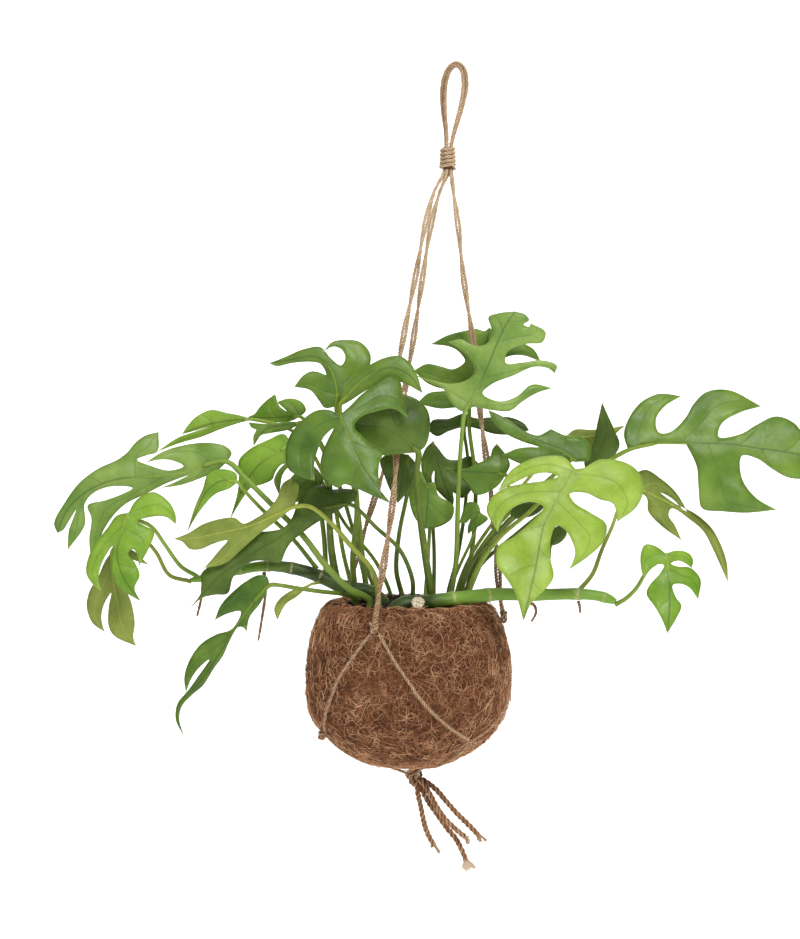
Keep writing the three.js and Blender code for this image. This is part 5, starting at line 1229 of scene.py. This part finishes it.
def add_tail(number, route):
    """A free end of the twine under the bottom knot, its last fibres teased out."""
    form, draw = jute(SEEDS["tails"] + number)
    route = seen(route)
    into_knot = (np.array(BOTTOM_KNOT) - route[0]) * 0.4
    line = stepped(curve([route[0] + into_knot, *route]), 2)
    add_twine(form, line, number, TAIL_TWINE, PALENESS["tails"])
    fray = Form("groove", "tone")
    add_hairs(fray, line, draw)
    add_fray(fray, line, number == PALE_TAIL, draw)
    brush = fray.piece(f"jute_fray_{number}", [JUTE_LOOK], "twine")
    tail = form.piece(f"jute_tail_{number}", [JUTE_LOOK], "twine", f"hanger_tail_{number}")


# Materials

# The colour sockets of a mix node, which have the same names as its other sockets.
MIX_FIRST, MIX_SECOND, MIX_RESULT = 6, 7, 2
# Winding lines in the coir mat: their pitch, how they are stretched, and their colour.
WINDINGS = [(3.6, (1, 0.7, 1.3), "#6e4630"), (2.8, (1.2, 1, 0.8), "#8f6244"), (4.4, (0.8, 1.3, 1), "#b28560")]


def linear(code):
    """A colour written as six hex digits, as the shader wants it."""
    parts = [int(code[i:i + 2], 16) / 255 for i in (1, 3, 5)]
    return (*[c / 12.92 if c <= 0.04045 else ((c + 0.055) / 1.055) ** 2.4 for c in parts], 1)


class Look:
    """A principled material and the few kinds of node that feed it."""

    def __init__(self, name, roughness, specular):
        self.material = bpy.data.materials.new(name)
        self.material.use_nodes = True
        self.tree = self.material.node_tree
        self.shader = self.tree.nodes["Principled BSDF"]
        self.shader.inputs["Roughness"].default_value = roughness
        self.shader.inputs["Specular IOR Level"].default_value = specular
        self.place = self.tree.nodes.new("ShaderNodeTexCoord").outputs["Object"]

    def value(self, name):
        """One of the values that the mesh holds at its points."""
        node = self.tree.nodes.new("ShaderNodeAttribute")
        node.attribute_name = name
        return node.outputs["Fac"]

    def noise(self, pitch, detail=3, roughness=0.55, stretch=None):
        """Cloudy noise with features of about the pitch in millimetres."""
        node = self.tree.nodes.new("ShaderNodeTexNoise")
        node.inputs["Scale"].default_value = 1 / (pitch * MM)
        node.inputs["Detail"].default_value = detail
        node.inputs["Roughness"].default_value = roughness
        source = self.place
        if stretch:
            mapping = self.tree.nodes.new("ShaderNodeMapping")
            mapping.inputs["Scale"].default_value = stretch
            self.tree.links.new(self.place, mapping.inputs["Vector"])
            source = mapping.outputs["Vector"]
        self.tree.links.new(source, node.inputs["Vector"])
        return node.outputs["Fac"]

    def span(self, source, low, high, to_low=0.0, to_high=1.0):
        """A value brought from one range to another, and no further."""
        node = self.tree.nodes.new("ShaderNodeMapRange")
        for key, number in (("From Min", low), ("From Max", high), ("To Min", to_low), ("To Max", to_high)):
            node.inputs[key].default_value = number
        self.tree.links.new(source, node.inputs["Value"])
        return node.outputs["Result"]

    def maths(self, kind, a, b):
        node = self.tree.nodes.new("ShaderNodeMath")
        node.operation = kind
        for socket, part in zip(node.inputs, (a, b)):
            if isinstance(part, (int, float)):
                socket.default_value = part
            else:
                self.tree.links.new(part, socket)
        return node.outputs["Value"]

    def mix(self, share, a, b):
        """From colour a to colour b by a share. Either colour may be a code or another node's colour."""
        node = self.tree.nodes.new("ShaderNodeMix")
        node.data_type = "RGBA"
        self.tree.links.new(share, node.inputs["Factor"])
        for number, part in ((MIX_FIRST, a), (MIX_SECOND, b)):
            if isinstance(part, str):
                node.inputs[number].default_value = linear(part)
            else:
                self.tree.links.new(part, node.inputs[number])
        return node.outputs[MIX_RESULT]

    def over(self, colour, code, source, low, high, at_low=0.0, at_high=1.0):
        """A colour with another laid over it, as strongly as a source between low and high says."""
        return self.mix(self.span(source, low, high, at_low, at_high), colour, code)

    def finish(self, colour, height=None, bump=0.3, distance=0.5, roughness=None):
        """The material with its colour, bumps and roughness joined to the shader."""
        self.tree.links.new(colour, self.shader.inputs["Base Color"])
        if height is not None:
            node = self.tree.nodes.new("ShaderNodeBump")
            node.inputs["Strength"].default_value = bump
            node.inputs["Distance"].default_value = distance * MM
            self.tree.links.new(height, node.inputs["Height"])
            self.tree.links.new(node.outputs["Normal"], self.shader.inputs["Normal"])
        if roughness is not None:
            self.tree.links.new(roughness, self.shader.inputs["Roughness"])
        return self.material


def blade_look(name, top, under):
    """Leaf tissue: mottled, with its veins and midrib darker above and paler below, and a thin pale edge."""
    look = Look("leaf_blade_" + name, roughness=0.42, specular=0.22)
    cloud = look.span(look.noise(26), 0.35, 0.65)
    grain = look.noise(2.2, detail=4)
    above = look.mix(cloud, *top)
    above = look.over(above, "#46542e", look.value("rib"), 0, 8, 0.16, 0)
    above = look.over(above, "#2f421a", look.value("vein"), 0.1, 0.9, 0.24, 0)
    above = look.over(above, "#33421c", look.value("rib"), 0.2, 0.9, 0.5, 0)
    below = look.mix(cloud, *under)
    below = look.over(below, "#8f9c58", look.value("vein"), 0.1, 0.9, 0.25, 0)
    below = look.over(below, "#8a974e", look.value("rib"), 0.3, 1.4, 0.5, 0)
    colour = look.mix(look.value("under"), above, below)
    colour = look.over(colour, "#283a14", grain, 0.3, 0.75, 0, 0.16)
    colour = look.over(colour, "#8d9c52", look.value("edge"), 0.05, 0.5, 0.3, 0)
    shine = look.span(look.value("under"), 0, 1, 0.4, 0.62)
    shine = look.maths("ADD", shine, look.span(grain, 0.3, 0.7, -0.05, 0.08))
    creases = [look.span(look.value(name), 0, 1.2) for name in ("vein", "rib")]
    height = look.maths("ADD", look.maths("MINIMUM", *creases), look.span(grain, 0.2, 0.8, 0, 0.25))
    return look.finish(colour, height, bump=0.3, distance=0.4, roughness=shine)


def stalk_look(name, low, high):
    """Smooth green stalks, streaked lengthways and darker towards the foot."""
    look = Look("leaf_stalk_" + name, roughness=0.5, specular=0.22)
    streak = look.noise(1.6, stretch=(1, 1, 0.12))
    colour = look.mix(look.span(look.value("share"), 0, 0.8), low, high)
    colour = look.over(colour, "#6a5f26", streak, 0.42, 0.7, 0, 0.4)
    colour = look.over(colour, "#8a8c3c", look.noise(14, detail=2), 0.56, 0.7, 0, 0.4)
    return look.finish(colour, streak, bump=0.2, distance=0.3)


def vine_look():
    """Stem green, with painted shade where it leaves the soil, corky marks and a pale scar round each node.
    """
    look = Look("vine", roughness=0.48, specular=0.28)
    streak = look.noise(2.2, detail=4, stretch=(0.12, 1, 1))
    # Painted shade: each vine is dark along its first stretch from the soil.
    colour = look.mix(look.span(look.value("share"), 0.54, 0.7), "#26380e", "#628428")
    colour = look.over(colour, "#7d9a3c", streak, 0.42, 0.68, 0, 0.18)
    colour = look.over(colour, "#6f6434", look.noise(9, detail=4), 0.6, 0.72, 0, 0.3)
    scar = look.maths("MULTIPLY", look.value("scar"), look.span(look.noise(2.4), 0.35, 0.6))
    colour = look.over(colour, "#a59a6c", scar, 0.15, 0.8, 0, 0.75)
    height = look.maths("SUBTRACT", streak, look.value("scar"))
    return look.finish(colour, height, bump=0.35, distance=0.5)


def root_look():
    """Dry brown roots with a rough skin."""
    look = Look("aerial_root", roughness=0.85, specular=0.3)
    cloud = look.noise(1.4, detail=5, roughness=0.65)
    colour = look.mix(look.span(cloud, 0.3, 0.7), "#4c3222", "#8b6546")
    return look.finish(colour, cloud, bump=0.6, distance=0.6)


def cut_look():
    """Pale pith with rings of pores inside a grey-brown bark."""
    look = Look("cut_stem", roughness=0.85, specular=0.25)
    pores = look.noise(0.9)
    face = look.mix(look.span(pores, 0.42, 0.6), "#8f8268", "#ded5bd")
    colour = look.over(face, "#5c4c38", look.value("reach"), 3.9, 4.6)
    return look.finish(colour, pores, bump=0.5, distance=0.5)


def coir_look():
    """The mat behind the loose fibres: brown, lighter in patches, painted shade in its pits and hollows."""
    look = Look("coir_mat", roughness=0.95, specular=0.1)
    patch = look.noise(16)
    fine = look.noise(0.8, detail=5, roughness=0.75)
    colour = look.mix(look.span(patch, 0.35, 0.65), "#5c3926", "#805539")
    # Painted shade in the pits between fibres: where the fine noise that makes the bumps is low, the mat
    # turns near black.
    colour = look.over(colour, "#2b1810", fine, 0.35, 0.6, 0.85, 0)
    colour = look.over(colour, "#b0825c", fine, 0.6, 0.75, 0, 0.5)
    for pitch, stretch, code in WINDINGS:
        off_middle = look.maths("SUBTRACT", look.noise(pitch, detail=1, stretch=stretch), 0.5)
        colour = look.over(colour, code, look.maths("ABSOLUTE", off_middle, 0), 0.002, 0.011, 0.7, 0)
    # Painted shade in the hollows: the mat darkens where the shell is pushed deepest in.
    colour = look.over(colour, "#2a1810", look.value("hollow"), 0.4, 1.0, 0, 0.55)
    return look.finish(colour, fine, bump=1.0, distance=1.4)


def fibre_look():
    """Single coconut fibres, from dark red-brown to straw."""
    look = Look("coir_fibre", roughness=0.75, specular=0.2)
    patch = look.noise(18, detail=2)
    shade = look.maths("ADD", look.value("tone"), look.span(patch, 0.3, 0.7, -0.12, 0.16))
    colour = look.mix(look.span(shade, 0, 0.5), "#3c2216", "#9e6946")
    return look.finish(look.over(colour, "#e4b88e", shade, 0.5, 1.05))


def soil_look():
    """Dark potting mix, each crumb of its own shade."""
    look = Look("soil", roughness=0.95, specular=0.2)
    fine = look.noise(1.2, detail=5, roughness=0.7)
    colour = look.mix(look.value("tone"), "#15100c", "#3a2c20")
    colour = look.over(colour, "#55422f", fine, 0.55, 0.75, 0, 0.5)
    return look.finish(colour, fine, bump=0.8, distance=0.8)


def jute_look():
    """Dry jute: tan plies, painted shade in their grooves, patches of brown, and pale where it is teased."""
    look = Look("jute", roughness=0.9, specular=0.12)
    fibre = look.noise(0.5, detail=4, roughness=0.7)
    colour = look.mix(look.span(look.value("tone"), 0.1, 0.9), "#946848", "#d6be9c")
    colour = look.over(colour, "#926a4a", look.noise(26, detail=2), 0.45, 0.7, 0, 0.5)
    colour = look.over(colour, "#785438", fibre, 0.5, 0.7, 0, 0.45)
    colour = look.over(colour, "#e2c49a", fibre, 0.28, 0.42, 0.4, 0)
    # Painted shade in the grooves: the lower a point lies on its ply, the darker it is.
    colour = look.over(colour, "#452a18", look.value("groove"), 0.5, 0.93, 0.92, 0)
    colour = look.over(colour, "#f0e2c8", look.value("tone"), 1.0, 1.6, 0, 0.9)
    return look.finish(colour, fibre, bump=0.7, distance=0.4)


BLADES = {name: blade_look(name, top, under) for name, (top, under, _) in SHADES.items()}
STALK_LOOKS = {name: stalk_look(name, *stalk) for name, (_, _, stalk) in SHADES.items()}
VINE_LOOK = vine_look()
ROOT_LOOK = root_look()
CUT_LOOK = cut_look()
COIR_LOOK = coir_look()
FIBRE_LOOK = fibre_look()
SOIL_LOOK = soil_look()
JUTE_LOOK = jute_look()


# Stage, light and camera


def floor_look():
    pale = bpy.data.materials.new("pale_floor")
    pale.use_nodes = True
    shader = pale.node_tree.nodes["Principled BSDF"]
    shader.inputs["Base Color"].default_value = (STAGE_WHITE, STAGE_WHITE, STAGE_WHITE, 1)
    shader.inputs["Roughness"].default_value = 1
    shader.inputs["Specular IOR Level"].default_value = 0
    shader.inputs["Emission Color"].default_value = (1, 1, 1, 1)
    shader.inputs["Emission Strength"].default_value = STAGE_GLOW
    return pale


def add_stage():
    """A seamless pale floor that curves up into a wall behind."""
    arc = [(WALL_DEPTH + FLOOR_BEND * math.sin(a), FLOOR_HEIGHT + FLOOR_BEND * (1 - math.cos(a)))
           for a in np.linspace(0, math.pi / 2, 14)]
    profile = [(FLOOR_FRONT, FLOOR_HEIGHT), *arc, (WALL_DEPTH + FLOOR_BEND, WALL_TOP)]
    points = [(x, y, z) for y, z in profile for x in FLOOR_SIDES]
    faces = [(2 * i, 2 * i + 1, 2 * i + 3, 2 * i + 2) for i in range(len(profile) - 1)]
    mesh = bpy.data.meshes.new("floor")
    mesh.from_pydata(points, [], faces)
    for polygon in mesh.polygons:
        polygon.use_smooth = True
    floor = bpy.data.objects.new("floor", mesh)
    bpy.context.scene.collection.objects.link(floor)
    mesh.materials.append(floor_look())


def add_aimed(name, data, place):
    """A lamp or camera that looks at the middle of the plant."""
    made = bpy.data.objects.new(name, data)
    made.location = place
    made.rotation_euler = (Vector(CAMERA_AIM) - Vector(place)).to_track_quat("-Z", "Y").to_euler()
    bpy.context.scene.collection.objects.link(made)
    return made


def add_light(name, place, size, power):
    light = bpy.data.lights.new(name, "AREA")
    light.shape = "DISK"
    light.size = size
    light.energy = power
    add_aimed(name, light, place)


def add_camera():
    camera = bpy.data.cameras.new("camera")
    camera.lens = CAMERA_LENS
    camera.sensor_width = SENSOR_WIDTH
    camera.sensor_fit = "AUTO"
    bpy.context.scene.camera = add_aimed("camera", camera, CAMERA_PLACE)


def light_scene():
    world = bpy.data.worlds.new("studio")
    world.use_nodes = True
    background = world.node_tree.nodes["Background"]
    background.inputs["Color"].default_value = (1, 1, 1, 1)
    background.inputs["Strength"].default_value = WORLD_LIGHT
    bpy.context.scene.world = world
    bpy.context.scene.view_settings.view_transform = "Standard"
    for name, light in LIGHTS.items():
        add_light(name, *light)


add_camera()
for number, route in enumerate(TAILS, 1):
    add_tail(number, route)
for seed, item in enumerate(LEAVES):
    add_leaf(item, seed)
for stem in VINES:
    add_vine(stem)
for seed, name in enumerate(ROOTS):
    add_root(name, seed)
add_cut_stem()
add_shell()
for seed, name in enumerate(FIBRES, 1):
    add_fibres(name, seed, **FIBRES[name])
add_soil()
add_loop()
for seed, key in enumerate(LEGS):
    add_leg(key, SEEDS["legs"] + seed)
add_net()
add_stage()
light_scene()
